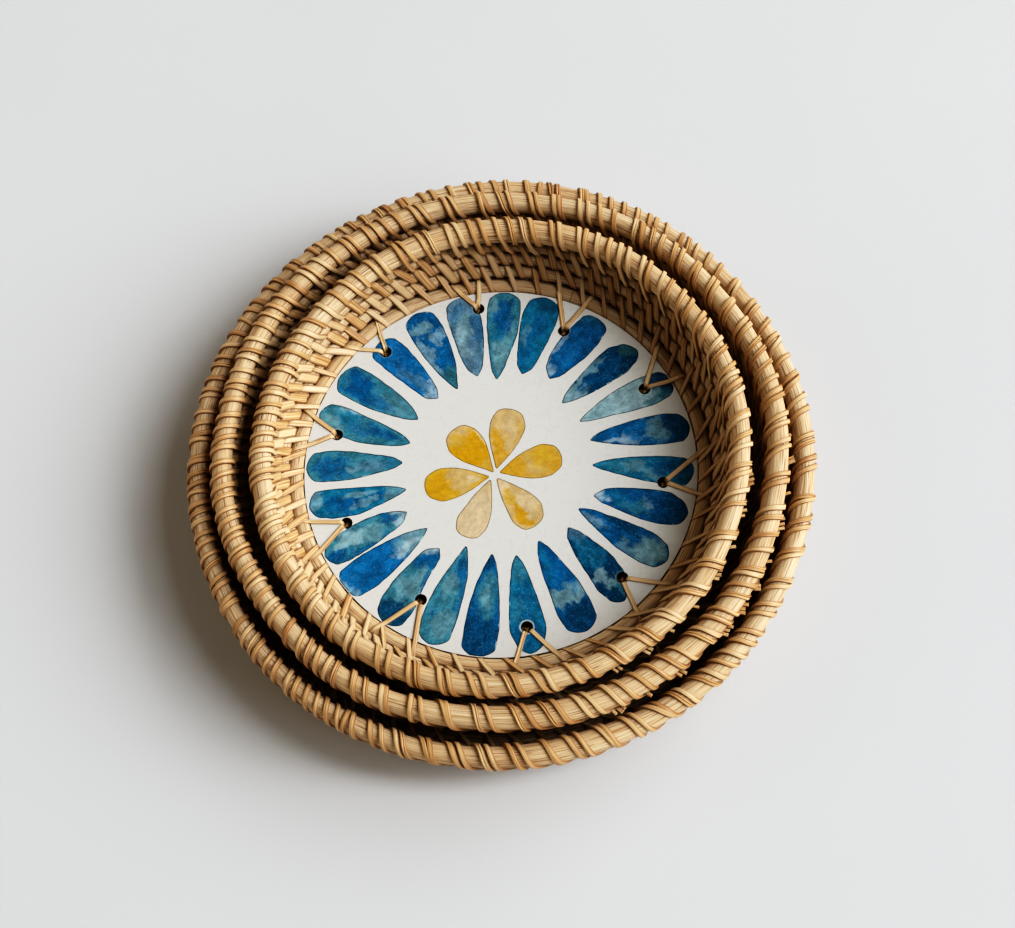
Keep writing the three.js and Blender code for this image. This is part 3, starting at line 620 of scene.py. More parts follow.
def widths(stations, values, tip, bow):
    """Half width along a petal: an eased curve through the measured stations."""
    ts = np.array([0.0, *stations])
    ws = np.array([tip, *values])
    slope = np.diff(ws) / np.diff(ts)
    grad = np.zeros(ts.size)
    grad[0], grad[-1] = slope[0] * 1.1, min(slope[-1], 0.0) * 0.6
    for i in range(1, ts.size - 1):
        grad[i] = 0 if slope[i - 1] * slope[i] <= 0 else 2 / (1 / slope[i - 1] + 1 / slope[i])

    def at(t):
        t = np.asarray(t, float)
        i = np.clip(np.searchsorted(ts, t) - 1, 0, ts.size - 2)
        h = ts[i + 1] - ts[i]
        s = np.clip((t - ts[i]) / h, 0, 1)
        w = ((2 * s**3 - 3 * s**2 + 1) * ws[i] + (s**3 - 2 * s**2 + s) * h * grad[i]
             + (-2 * s**3 + 3 * s**2) * ws[i + 1] + (s**3 - s**2) * h * grad[i + 1])
        tail = np.clip((t - ts[-1]) / (1 - ts[-1]), 0, 1)
        fall = np.maximum(1 - tail**bow, 0) ** (0.6 if bow < 2 else 0.5)
        return np.where(t > ts[-1], (ws[-1] + grad[-1] * (t - ts[-1])) * fall, w)
    return at


class Petal:
    """Outline and own axes of one inlaid petal, about the middle of the floor."""

    def __init__(self, row, shift, reach, seed, wobble=0.08, bow=1.6, soft=0.0):
        rng = np.random.default_rng(seed)
        self.seed = seed
        self.tip = np.array(row[:2]) + shift
        self.end = np.array(row[2:4]) + shift
        self.length = float(np.linalg.norm(self.end - self.tip))
        self.axis = (self.end - self.tip) / self.length
        self.cross = np.array([-self.axis[1], self.axis[0]])
        left, right_ = widths(STATIONS, row[4:9], 0.3, bow), widths(STATIONS, row[9:14], 0.3, bow)
        t = (1 - np.cos(np.linspace(0.0, math.pi, 46))) / 2
        t = t ** 0.92
        rough = harmonics(rng, 6, 26, wobble)
        s = np.linspace(0, TAU, 2 * t.size, endpoint=False)
        u = np.concatenate([t, t[::-1][1:-1]]) * self.length
        w = np.concatenate([-right_(t), left(t[::-1][1:-1])])
        w = w + np.sign(w) * rough(s[:w.size]) * np.clip(np.abs(w) / 3, 0, 1)
        loop = self.tip + u[:, None] * self.axis + w[:, None] * self.cross
        far = np.linalg.norm(loop, axis=1)
        loop *= np.minimum(1, reach / far)[:, None]
        keep = np.linalg.norm(loop - np.roll(loop, 1, axis=0), axis=1) > 0.03
        self.loop = self.eased(loop[keep], soft) if soft else loop[keep]

    def eased(self, loop, soft):
        """The outline with its corners rounded off, all but the pointed end."""
        closed = np.concatenate([loop, loop[:1]])
        length = np.concatenate([[0], np.cumsum(np.linalg.norm(np.diff(closed, axis=0), axis=1))])
        total = length[-1]
        at = np.linspace(0, total, 160, endpoint=False)
        even = np.stack([np.interp(at, length, closed[:, q]) for q in range(2)], axis=1)
        weight = np.exp(-0.5 * (((at + total / 2) % total - total / 2) / soft) ** 2)
        spread = np.fft.fft(weight / weight.sum())
        round_ = np.stack([np.real(np.fft.ifft(np.fft.fft(even[:, q]) * spread)) for q in range(2)], axis=1)
        k = ease((even - self.tip) @ self.axis / self.length, 0.3, 0.6)[:, None]
        return even * (1 - k) + round_ * k

    def grown(self, by):
        a, b = np.roll(self.loop, 1, axis=0), np.roll(self.loop, -1, axis=0)
        step = b - a
        normal = np.column_stack([step[:, 1], -step[:, 0]])
        normal /= np.maximum(np.linalg.norm(normal, axis=1, keepdims=True), 1e-9)
        area = np.sum(self.loop[:, 0] * np.roll(self.loop[:, 1], -1) - self.loop[:, 1] * np.roll(self.loop[:, 0], -1))
        return self.loop + (by if area > 0 else -by) * normal


# ---------------------------------------------------------------- materials


class Paint:
    """A node material, built up in a few words."""

    def __init__(self, name, roughness=0.5, **sockets):
        self.material = bpy.data.materials.new(name)
        self.material.use_nodes = True
        self.tree = self.material.node_tree
        self.tree.nodes.clear()
        self.out = self.node("ShaderNodeOutputMaterial")
        self.bsdf = self.node("ShaderNodeBsdfPrincipled")
        self.bsdf.inputs["Roughness"].default_value = roughness
        for key, value in sockets.items():
            self.bsdf.inputs[key.replace("_", " ")].default_value = value
        self.join(self.bsdf.outputs[0], self.out.inputs["Surface"])

    def node(self, kind, **settings):
        n = self.tree.nodes.new(kind)
        for key, value in settings.items():
            setattr(n, key, value)
        return n

    def join(self, a, b):
        self.tree.links.new(a, b)

    def put(self, socket, value):
        if hasattr(value, "is_output"):
            self.join(value, socket)
        else:
            socket.default_value = value

    def vector(self, name):
        return self.node("ShaderNodeAttribute", attribute_name=name).outputs["Vector"]

    def number(self, name):
        return self.node("ShaderNodeAttribute", attribute_name=name).outputs["Fac"]

    def place(self):
        n = self.node("ShaderNodeTexCoord")
        return self.scaled(n.outputs["Object"], (1000, 1000, 1000))

    def scaled(self, vector, by, shift=(0, 0, 0)):
        n = self.node("ShaderNodeVectorMath", operation="MULTIPLY_ADD")
        self.put(n.inputs[0], vector)
        n.inputs[1].default_value = by
        n.inputs[2].default_value = shift
        return n.outputs[0]

    def noise(self, vector, scale=1.0, detail=3.0, rough=0.55, twist=0.0):
        n = self.node("ShaderNodeTexNoise")
        self.put(n.inputs["Vector"], vector)
        n.inputs["Scale"].default_value = scale
        n.inputs["Detail"].default_value = detail
        n.inputs["Roughness"].default_value = rough
        n.inputs["Distortion"].default_value = twist
        return n.outputs["Fac"]

    def noise_colour(self, vector, detail, rough):
        n = self.node("ShaderNodeTexNoise")
        self.put(n.inputs["Vector"], vector)
        n.inputs["Scale"].default_value = 1.0
        n.inputs["Detail"].default_value = detail
        n.inputs["Roughness"].default_value = rough
        return n.outputs["Color"]

    def sum(self, op, a, b=0.0, clamp=False):
        n = self.node("ShaderNodeMath", operation=op, use_clamp=clamp)
        self.put(n.inputs[0], a)
        self.put(n.inputs[1], b)
        return n.outputs[0]

    def fit(self, value, low, high, to_low=0.0, to_high=1.0, smooth=True):
        n = self.node("ShaderNodeMapRange", interpolation_type="SMOOTHSTEP" if smooth else "LINEAR")
        self.put(n.inputs["Value"], value)
        self.put(n.inputs["From Min"], low)
        self.put(n.inputs["From Max"], high)
        self.put(n.inputs["To Min"], to_low)
        self.put(n.inputs["To Max"], to_high)
        return n.outputs[0]

    def blend(self, amount, a, b, mode="MIX"):
        n = self.node("ShaderNodeMix", data_type="RGBA", blend_type=mode)
        self.put(n.inputs[0], amount)
        for socket, value in ((n.inputs[6], a), (n.inputs[7], b)):
            self.put(socket, value if hasattr(value, "is_output") else (*value, 1.0))
        return n.outputs[2]

    def ramp(self, value, *stops):
        n = self.node("ShaderNodeValToRGB")
        self.put(n.inputs[0], value)
        band = n.color_ramp
        while len(band.elements) < len(stops):
            band.elements.new(0.5)
        for element, (at, colour) in zip(band.elements, stops):
            element.position = at
            element.color = (*colour, 1.0)
        return n.outputs[0]

    def part(self, vector, axis):
        n = self.node("ShaderNodeSeparateXYZ")
        self.put(n.inputs[0], vector)
        return n.outputs[axis]

    def colour(self, value):
        self.put(self.bsdf.inputs["Base Color"], value)

    def rough(self, value):
        self.put(self.bsdf.inputs["Roughness"], value)

    def bump(self, height, strength, distance):
        n = self.node("ShaderNodeBump")
        n.inputs["Strength"].default_value = strength
        n.inputs["Distance"].default_value = distance
        self.put(n.inputs["Height"], height)
        self.join(n.outputs[0], self.bsdf.inputs["Normal"])


def srgb(r, g, b):
    return tuple((c / 255 / 12.92) if c <= 10.3 else ((c / 255 + 0.055) / 1.055) ** 2.4 for c in (r, g, b))


def rattan_rod():
    p = Paint("rattan_rod", 0.6, Specular_IOR_Level=0.3)
    g = p.vector("grain")
    tone = p.number("tone")
    fibre = p.noise(p.scaled(g, (0.026, 2.0, 2.0)), detail=4, rough=0.6)
    hair = p.noise(p.scaled(g, (0.070, 4.6, 4.6)), detail=2, rough=0.5)
    vessel = p.noise(p.scaled(g, (0.045, 2.5, 2.5)), detail=1.5, rough=0.5, twist=0.12)
    cloud = p.noise(p.scaled(g, (0.022, 0.10, 0.10)), detail=2)
    mixed = p.sum("ADD", p.sum("MULTIPLY", fibre, 0.6), p.sum("MULTIPLY", hair, 0.4))
    base = p.ramp(mixed, (0.35, srgb(154, 114, 70)), (0.45, srgb(200, 172, 134)), (0.55, srgb(218, 197, 164)),
                  (0.68, srgb(231, 217, 189)))
    base = p.blend(p.fit(cloud, 0.38, 0.70, 0.0, 0.40), base, srgb(194, 157, 113))
    base = p.blend(p.fit(tone, 0.2, 0.9, 0.0, 0.16), base, srgb(178, 138, 96))
    dark = p.fit(vessel, 0.565, 0.65, 0.0, 0.66)
    base = p.blend(dark, base, srgb(108, 62, 24))
    # Painted shade: the base colour is mixed towards dark brown by the shade attribute.
    base = p.blend(p.sum("MULTIPLY", p.number("shade"), 0.62), base, srgb(66, 29, 6))
    p.colour(base)
    p.rough(p.fit(mixed, 0.3, 0.7, 0.72, 0.52))
    height = p.sum("SUBTRACT", mixed, p.sum("MULTIPLY", dark, 0.35))
    p.bump(height, 0.55, 0.00028)
    return p.material


def rattan_peel():
    p = Paint("rattan_peel", 0.42, Specular_IOR_Level=0.4)
    g = p.vector("grain")
    tone = p.number("tone")
    line = p.noise(p.scaled(g, (0.035, 3.0, 3.0)), detail=3, rough=0.55)
    stain = p.noise(p.scaled(g, (0.11, 0.35, 0.35)), detail=3, rough=0.6)
    base = p.ramp(line, (0.32, srgb(152, 106, 58)), (0.47, srgb(194, 157, 110)), (0.60, srgb(211, 179, 136)),
                  (0.75, srgb(225, 199, 160)))
    base = p.blend(p.fit(tone, 0.10, 0.30, 0.50, 0.0), base, srgb(152, 102, 62))
    base = p.blend(p.fit(tone, 0.66, 1.0, 0.0, 0.55), base, srgb(226, 204, 166))
    base = p.blend(p.fit(stain, 0.56, 0.76, 0.0, 0.42), base, srgb(142, 86, 42))
    edge = p.sum("ABSOLUTE", p.part(g, 1))
    base = p.blend(p.fit(edge, 0.62, 1.02, 0.0, 0.60), base, srgb(104, 58, 20))
    # Painted shade: the base colour is mixed towards dark brown by the shade attribute.
    base = p.blend(p.sum("MULTIPLY", p.number("shade"), 0.66), base, srgb(66, 29, 6))
    p.colour(base)
    p.rough(p.fit(line, 0.3, 0.7, 0.55, 0.36))
    p.bump(line, 0.4, 0.0002)
    return p.material


def floor_board():
    p = Paint("board", 0.7, Specular_IOR_Level=0.3)
    g = p.place()
    ring = p.noise(p.scaled(g, (0.012, 0.16, 0.2)), detail=4, rough=0.6, twist=0.8)
    hair = p.noise(p.scaled(g, (0.05, 1.6, 1.0)), detail=3)
    # Painted shade: the board goes near black at the edges of the holes and inside them.
    hole_shade = p.fit(p.number("halo"), 0.6, 0.1, 0.0, 0.95)
    base = p.ramp(ring, (0.35, srgb(126, 92, 56)), (0.5, srgb(156, 120, 78)), (0.65, srgb(176, 141, 96)))
    base = p.blend(p.fit(hair, 0.5, 0.75, 0.0, 0.5), base, srgb(104, 72, 42))
    base = p.blend(hole_shade, base, srgb(24, 14, 8))
    p.colour(base)
    p.bump(hair, 0.3, 0.0002)
    return p.material


def nest_shade(p, base, tray):
    """Painted shade round the edge of a floor that has another tray over it, darker towards the edge where the next
    tray's wall shades it.
    """
    away = p.node("ShaderNodeVectorMath", operation="LENGTH")
    p.put(away.inputs[0], p.scaled(p.place(), (1, 1, 0), (-tray.foot[0], -tray.foot[1], 0)))
    return p.blend(p.fit(away.outputs["Value"], tray.panel - 9, tray.panel - 2, 0.0, 0.85), base, srgb(62, 38, 18))


def lacquer(name, nested=None):
    p = Paint(name, 0.26, Specular_IOR_Level=0.5, Coat_Weight=0.25, Coat_Roughness=0.12)
    g = p.place()
    cloud = p.noise(p.scaled(g, (0.035, 0.035, 0.035)), detail=3, rough=0.6)
    mottle = p.noise(p.scaled(g, (0.22, 0.22, 0.22)), detail=4, rough=0.65)
    speck = p.noise(p.scaled(g, (1.1, 1.1, 1.1)), detail=1)
    base = p.ramp(p.sum("ADD", p.sum("MULTIPLY", cloud, 0.6), p.sum("MULTIPLY", mottle, 0.4)),
                  (0.36, srgb(212, 212, 207)), (0.52, srgb(213, 213, 209)), (0.66, srgb(213, 214, 210)))
    base = p.blend(p.fit(speck, 0.77, 0.81, 0.0, 0.2), base, srgb(176, 170, 156))
    # Painted shade: dark brown round the edges of the holes.
    hole_shade = p.fit(p.number("halo"), 0.17, 0.04, 0.0, 0.92)
    base = p.blend(hole_shade, base, srgb(46, 28, 16))
    # Painted shade round the edge of the floor under the next tray.
    if nested:
        base = nest_shade(p, base, nested)
    p.colour(base)
    p.rough(p.fit(mottle, 0.3, 0.7, 0.27, 0.285))
    p.bump(p.noise(p.scaled(g, (0.12, 0.12, 0.12)), detail=1), 0.012, 0.0002)
    return p.material


def shown(r, g, b):
    """The surface colour that the tone curve turns into this one in full light."""
    x, y = zip(*TONES)
    return tuple(float(np.interp(c, y, x)) for c in srgb(r, g, b))


DYES = {
    "navy": shown(0, 42, 80), "cobalt": shown(0, 68, 122), "bright": shown(4, 86, 146), "lake": shown(6, 92, 130),
    "teal": shown(38, 106, 128), "slate": shown(74, 110, 136), "grey": shown(102, 144, 152), "green": shown(34, 92, 100),
    "ash": shown(138, 171, 178), "pale": shown(176, 196, 203),
    "amber": shown(194, 138, 4), "gold": shown(194, 150, 26), "mustard": shown(190, 150, 60), "tan": shown(195, 165, 104),
    "beige": shown(199, 176, 138), "cream": shown(216, 198, 160),
}


def pooled(p, ground, pools, warp, cloud, depth):
    """Dye pooled on shell: soft-edged patches, each a little uneven in itself."""
    def uneven(name):
        dark, light = (tuple(c * f for c in DYES[name]) for f in (1 - depth, 1 + depth))
        return p.ramp(cloud, (0.34, dark), (0.66, light))

    along = p.sum("ADD", p.number("along"), p.sum("MULTIPLY", p.sum("SUBTRACT", p.part(warp, 0), 0.5), 0.42))
    across = p.sum("ADD", p.number("across"), p.sum("MULTIPLY", p.sum("SUBTRACT", p.part(warp, 1), 0.5), 1.9))
    base = uneven(ground)
    for at, over, far, wide, name, strength in pools:
        u = p.sum("DIVIDE", p.sum("SUBTRACT", along, at), far)
        v = p.sum("DIVIDE", p.sum("SUBTRACT", across, over), wide)
        away = p.sum("ADD", p.sum("MULTIPLY", u, u), p.sum("MULTIPLY", v, v))
        strength = strength * (0.72 if name in ("ash", "pale") else 1.0)
        base = p.blend(p.fit(away, 1.9, 0.45, 0.0, strength), base, uneven(name))
    return base


def shell_blue(name, dye, bare=0.12, nested=None):
    p = Paint(name, 0.24, Specular_IOR_Level=0.15)
    g = p.vector("grain")
    rim, halo = p.number("rim"), p.number("halo")
    warp = p.noise_colour(p.scaled(g, (0.13, 0.15, 0.15), (3, 7, 1)), detail=3, rough=0.6)
    cloud = p.noise(p.scaled(g, (0.21, 0.26, 0.28), (7, 3, 1)), detail=4, rough=0.62, twist=0.5)
    fine = p.noise(p.scaled(g, (0.95, 1.1, 1.2)), detail=3, rough=0.65)
    base = pooled(p, dye[0], dye[1:], warp, cloud, 0.32)
    fleck = p.noise(p.scaled(g, (1.9, 2.2, 2.4), (2, 9, 4)), detail=2, rough=0.6)
    base = p.blend(p.fit(fine, 0.55, 0.72, 0.0, 0.42), base, DYES["navy"])
    base = p.blend(p.fit(fine, 0.44, 0.28, 0.0, 0.32), base, DYES["ash"])
    base = p.blend(p.fit(fleck, 0.58, 0.70, 0.0, 0.30), base, DYES["ash"])
    base = p.blend(p.fit(fleck, 0.42, 0.30, 0.0, 0.36), base, DYES["navy"])
    chip = p.sum("MULTIPLY", p.fit(rim, 0.55, 0.15), p.fit(cloud, 0.60, 0.68))
    base = p.blend(chip, base, DYES["pale"])
    edge = p.fit(p.sum("ADD", rim, p.sum("MULTIPLY", fine, 0.4)), 0.60, 0.26, 0.0, 0.85)
    base = p.blend(p.sum("MULTIPLY", edge, p.fit(cloud, 0.68, 0.54, 0.15, 1.0)), base, srgb(10, 44, 66))
    ring = p.fit(p.sum("ADD", halo, p.sum("MULTIPLY", fine, 0.8)), 1.55, 0.95, 0.0, bare)
    base = p.blend(ring, base, srgb(196, 206, 206))
    # Painted shade: dark brown round the edges of the holes.
    hole_shade = p.fit(halo, 0.22, 0.05, 0.0, 0.92)
    base = p.blend(hole_shade, base, srgb(40, 26, 18))
    # Painted shade round the edge of the floor under the next tray.
    if nested:
        base = nest_shade(p, base, nested)
    p.colour(base)
    p.rough(p.fit(cloud, 0.3, 0.7, 0.18, 0.34))
    p.bump(p.sum("ADD", cloud, p.sum("MULTIPLY", fine, 0.3)), 0.16, 0.0002)
    return p.material


def shell_yellow(name, dye):
    p = Paint(name, 0.26, Specular_IOR_Level=0.15)
    g = p.vector("grain")
    rim = p.number("rim")
    warp = p.noise_colour(p.scaled(g, (0.17, 0.19, 0.18), (3, 7, 1)), detail=3, rough=0.6)
    cloud = p.noise(p.scaled(g, (0.26, 0.32, 0.3), (5, 1, 2)), detail=4, rough=0.62, twist=0.5)
    fine = p.noise(p.scaled(g, (1.2, 1.3, 1.3)), detail=3, rough=0.7)
    fleck = p.noise(p.scaled(g, (2.2, 2.4, 2.4), (2, 9, 4)), detail=2, rough=0.6)
    base = pooled(p, dye[0], dye[1:], warp, cloud, 0.13)
    base = p.blend(p.fit(fine, 0.54, 0.72, 0.0, 0.36), base, srgb(176, 126, 42))
    base = p.blend(p.fit(fine, 0.44, 0.28, 0.0, 0.30), base, DYES["cream"])
    base = p.blend(p.fit(fleck, 0.58, 0.70, 0.0, 0.26), base, DYES["cream"])
    base = p.blend(p.fit(fleck, 0.42, 0.30, 0.0, 0.30), base, srgb(170, 118, 36))
    edge = p.fit(p.sum("ADD", rim, p.sum("MULTIPLY", fine, 0.5)), 0.62, 0.26, 0.0, 0.72)
    base = p.blend(edge, base, srgb(122, 90, 48))
    p.colour(base)
    p.rough(p.fit(cloud, 0.3, 0.7, 0.2, 0.36))
    p.bump(p.sum("ADD", cloud, p.sum("MULTIPLY", fine, 0.3)), 0.14, 0.0002)
    return p.material


ROD, PEEL, BOARD = rattan_rod(), rattan_peel(), floor_board()

# --------------------------------------------------------------------- walls


def build_wall(tray):
    n, rng = tray.name, np.random.default_rng(tray.seed + 500)
    inward, upward = np.array([-1.0, 0.0]), np.array([0.0, 1.0])
    line = tray.line
    sections = []

    def add_rod(i, name, e1, h1, e2, h2, power, start, steps, sides, painted_shade):
        b = Build("shade")
        rod(b, tray, line[i], e1, h1, e2, h2, power, start, steps, sides, tray.seed + 1 + i, painted_shade, float(i < 4))
        b.make(f"{n}_{name}", tray, ROD, [f"{n}_{name}"])
        sections.append(oval_section(line[i], e1, h1, e2, h2, power, 36)[0])

    # Painted shade: the rods are darkened where they lie against each other, on their outer side and underneath, and
    # the stitches towards their outer run; the outer sides of the small and medium trays, which face into the slots of
    # the nest, are darkened more, and so are the whole base rings of the medium and large trays.
    outside, shaded_share = (0.5, (0.80, 0.97)) if n == "large" else (0.9, (0.58, 0.82))
    # Painted shade: the base rings of the medium and large trays, down in the slots of the nest, are darkened all over.
    covered = 0.0 if n == "small" else 0.85
    add_rod(0, "base_ring", upward, RING_HALF[0], inward, RING_HALF[1], 2.2, 1.1, 320, 24,
            lambda up, into: np.maximum(np.maximum(ease(-into, 0.30, 0.85), 0.7 * ease(-up, 0.2, 0.8)), covered))
    for i in (1, 2, 3):
        u = tray.along(i)
        add_rod(i, f"wall_coil_{i}", u, tray.coil + (0.02 if n == "small" else 0.10), np.array([-u[1], u[0]]), tray.coil - 0.15, 2.4,
                0.7 + 1.3 * i, 360, 24, lambda up, into: np.maximum(0.85 * ease(np.abs(up), 0.66, 1.0), outside * ease(-into, 0, 0.6)))
    u = tray.along(4)
    add_rod(4, "rim_rod", u, RIM_ROD + 0.35, np.array([-u[1], u[0]]), RIM_ROD, 2.05, 3.9, 420, 28,
            lambda up, into: ease(-up, 0.35, 0.95))

    # Each row shows two strips a period, half a period apart; a strip leans on its way up.
    phase = np.arange(tray.periods) + rng.uniform(0, 1)
    shake = lambda size: rng.normal(0, size, tray.periods)
    lean, rim_lean = 0.42, 0.33
    first = tray.bearing(phase + shake(0.05))

    # The smallest tray is the palest.
    pale = {"large": 0.0, "medium": 0.04, "small": 0.18}[n]
    tones = (0.12 + pale, 0.94 + pale)
    wrap = Build("shade")
    over_two = Band([sections[3], sections[4]], line[4] - line[3], 52, line[3])
    band_strips(wrap, tray, over_two, first, rim_lean, 2.4, 1.18, rng, tones=tones)
    rise = np.linalg.norm(line[4] - line[3])
    apart = 0.31 + 0.10 * np.exp(-((np.degrees(first) - 165 + 180) % 360 - 180) ** 2 / 55.0**2)
    second = tray.bearing(phase - apart + shake(0.05)) + lean_at(first, rim_lean) * rise / tray.rim
    over_rim = Band([sections[4]], tray.along(4), 42, line[4])
    band_strips(wrap, tray, over_rim, second, rim_lean, 2.4, 1.18, rng, tones=tones)
    if n != "large":
        cut_ends(wrap, tray, tray.bearing(phase + 0.22), rng)
    wrap.make(n + "_rim_wrap", tray, PEEL, [n + "_rim_wrap"])

    stitch = Build("shade")
    back = 0.0
    for upper, width, thick in ((3, 3.15, 0.66), (2, 3.15, 0.66), (1, 2.2, 0.5)):
        band = Band([sections[upper - 1], sections[upper]], line[upper] - line[upper - 1], 38, line[upper], shaded_share=shaded_share)
        here = tray.bearing(phase + 0.5 * (4 - upper) + shake(0.04))
        band_strips(stitch, tray, band, here - back, lean, width, thick, rng, tones=(0.22 + pale, 0.98 + pale), broader=0.38)
        back = back + lean_at(here, lean) * np.linalg.norm(line[upper] - line[upper - 1]) / line[upper][0]
    stitch.make(n + "_wall_stitching", tray, PEEL, [n + "_wall_stitching"])


def spline(points, count):
    """An eased line through points, evenly stepped."""
    p = np.array(points, float)
    ext = np.concatenate([[2 * p[0] - p[1]], p, [2 * p[-1] - p[-2]]])
    out = []
    for i in range(1, len(ext) - 2):
        s = np.linspace(0, 1, 14, endpoint=False)[:, None]
        a, b, c, d = ext[i - 1:i + 3]
        out.append(0.5 * (2 * b + (c - a) * s + (2 * a - 5 * b + 4 * c - d) * s**2 + (3 * b - a - 3 * c + d) * s**3))
    out = np.concatenate(out + [p[-1:]])
    length = np.concatenate([[0], np.cumsum(np.linalg.norm(np.diff(out, axis=0), axis=1))])
    at = np.linspace(0, length[-1], count)
    return np.stack([np.interp(at, length, out[:, q]) for q in range(3)], axis=1)


def build_lacing(tray):
    rng = np.random.default_rng(tray.seed + 900)
    b = Build("shade")
    foot = np.array([tray.foot[0], tray.foot[1], tray.z0])
    top = RING_MID + RING_HALF[0]
    for i, (x, y, leg_a, leg_b) in enumerate(tray.lacing):
        hole = np.array([x, y])
        for bearing in (leg_a, leg_b):
            t = math.radians(bearing)
            out = np.array([math.cos(t), math.sin(t)])
            far = out * tray.ring_r
            d = (far - hole) / np.linalg.norm(far - hole)
            side = np.array([-d[1], d[0], 0.0])
            drift = np.array([-d[1], d[0]]) * rng.uniform(-0.35, 0.35)
            on = lambda dist, z: (*(hole + drift + d * dist), z)
            back = lambda r, z: (*(far + d * r), z)
            line = spline([on(1.72, 1.6), on(2.02, 4.2), on(2.62, 5.92), on(4.0, 6.08),
                           back(-7.5, 6.12), back(-4.4, 6.3), back(-2.6, top - 0.55), back(-0.6, top + 0.02),
                           back(1.2, top - 0.12), back(3.0, top - 1.3), back(4.15, top - 3.2)], 50)
            tangent = np.gradient(line, axis=0)
            normals = np.cross(side, tangent)
            normals *= np.sign(normals[len(normals) // 2, 2])
            w = rng.uniform(1.95, 2.35) * (1 + 0.04 * np.sin(np.linspace(0, 5, 50) + rng.uniform(0, TAU)))
            groove = rng.uniform(0.35, 0.6) if rng.random() < 0.35 else 0.0
            strip(b, line + foot, normals, w, 0.58, groove, rng.uniform(0.75, 1.15), rng.uniform(0, 900))
        nx, ny = tray.lacing[(i + 1) % len(tray.lacing)][:2]
        d = np.array([nx - x, ny - y])
        d /= np.linalg.norm(d)
        side = np.array([-d[1], d[0], 0.0])
        start, stop = hole - d * 0.4, np.array([nx, ny]) + d * 0.4
        line = spline([(*(start + d * 0.2), 3.4), (*(start + d * 1.1), 1.6), (*(start + d * 3.2), 1.16),
                       (*((start + stop) / 2), 1.16), (*(stop - d * 3.2), 1.16), (*(stop - d * 1.1), 1.6),
                       (*(stop - d * 0.2), 3.4)], 40)
        normals = np.cross(side, np.gradient(line, axis=0))
        if normals[len(normals) // 2, 2] > 0:
            normals = -normals
        strip(b, line + foot, normals, 2.0, 0.55, 0.0, rng.uniform(0.2, 0.8), rng.uniform(0, 900))
    b.make(tray.name + "_lacing", tray, PEEL, [tray.name + "_lacing"])


# -------------------------------------------------------------------- floors


def scatter(loop, step, inset):
    low, high = loop.min(axis=0), loop.max(axis=0)
    gx, gy = np.meshgrid(np.arange(low[0], high[0], step), np.arange(low[1], high[1], step))
    gx = gx + (np.arange(gx.shape[0]) % 2)[:, None] * step / 2
    pts = np.column_stack([gx.ravel(), gy.ravel()])
    pts = pts[inside_loop(pts, loop)]
    return pts[loop_distance(pts, loop) > inset]


def add_petal(build, tray, petal, holes):
    cuts = [circle(x, y, HOLE, 36) for x, y in holes if inside_loop(np.array([[x, y]]), petal.grown(2.6))[0]]
    loose = [scatter(petal.loop, 1.5, 1.25)]
    for inset in (0.22, 0.6, 1.0):
        ring = petal.grown(-inset)
        loose.append(ring[inside_loop(ring, petal.loop) & (loop_distance(ring, petal.loop) > inset * 0.8)])
    near = [(x, y) for x, y in holes if inside_loop(np.array([[x, y]]), petal.grown(2.6))[0]]
    for x, y in near:
        for extra in (0.4, 0.8, 1.2, 1.7):
            ring = circle(x, y, HOLE + extra, 36, extra)
            loose.append(ring[inside_loop(ring, petal.loop)])
    loose = np.concatenate(loose)
    loose = loose[loop_distance(loose, petal.loop) > 0.12]
    for x, y in near:
        loose = loose[np.hypot(loose[:, 0] - x, loose[:, 1] - y) > HOLE + 0.2]
    flat, faces = triangulate(petal.loop, cuts, loose)
    rim = loop_distance(flat, petal.loop)
    halo = np.full(len(flat), 9.0)
    for x, y in near:
        halo = np.minimum(halo, np.hypot(flat[:, 0] - x, flat[:, 1] - y) - HOLE)
    fall = np.clip(1 - np.minimum(rim, halo) / 0.5, 0, 1) ** 2 * 0.07
    points, shell = slab(flat, faces, FACE_TOP - 0.01 - fall, FACE_UNDER)
    along = (flat - petal.tip) @ petal.axis
    across = (flat - petal.tip) @ petal.cross
    grain = np.column_stack([along, across, np.full(len(flat), petal.seed * 17.0)])
    twice = lambda v: np.concatenate([v, v])
    build.shell(points + np.array([*tray.foot, tray.z0]), shell, np.concatenate([grain, grain]), 0.5,
                along=twice(along / petal.length), across=twice(across / np.maximum(np.abs(across) + rim, 0.3)),
                rim=twice(rim), halo=twice(halo))


def petal_rows(tray, count, seed):
    """Rows for the inlay of the two outer trays, in the small tray's manner."""
    rng = np.random.default_rng(seed)
    rows, mean = [], np.array([2.6, 5.0, 7.0, 7.6, 6.7])
    for i in range(count):
        t = (i + 0.5 + rng.normal(0, 0.07)) * TAU / count
        r0, r1 = tray.panel * 0.52 + rng.normal(0, 1.6), tray.panel - 3.0 + rng.normal(0, 1.2)
        bend = rng.normal(0, 0.012)
        rows.append((r0 * math.cos(t), r0 * math.sin(t), r1 * math.cos(t + bend), r1 * math.sin(t + bend),
                     *(mean * rng.normal(1, 0.05, 5)), *(mean * rng.normal(1, 0.05, 5))))
    inner = []
    for i in range(6):
        t = (i + 0.15 + rng.normal(0, 0.04)) * TAU / 6
        grow = tray.panel / 88.4
        inner.append((3.0 * math.cos(t), 3.0 * math.sin(t), 31 * grow * math.cos(t), 31 * grow * math.sin(t),
                      *(np.array([1.8, 4.7, 7.3, 7.9, 6.6]) * grow), *(np.array([1.8, 4.7, 7.3, 7.9, 6.6]) * grow)))
    return rows, inner


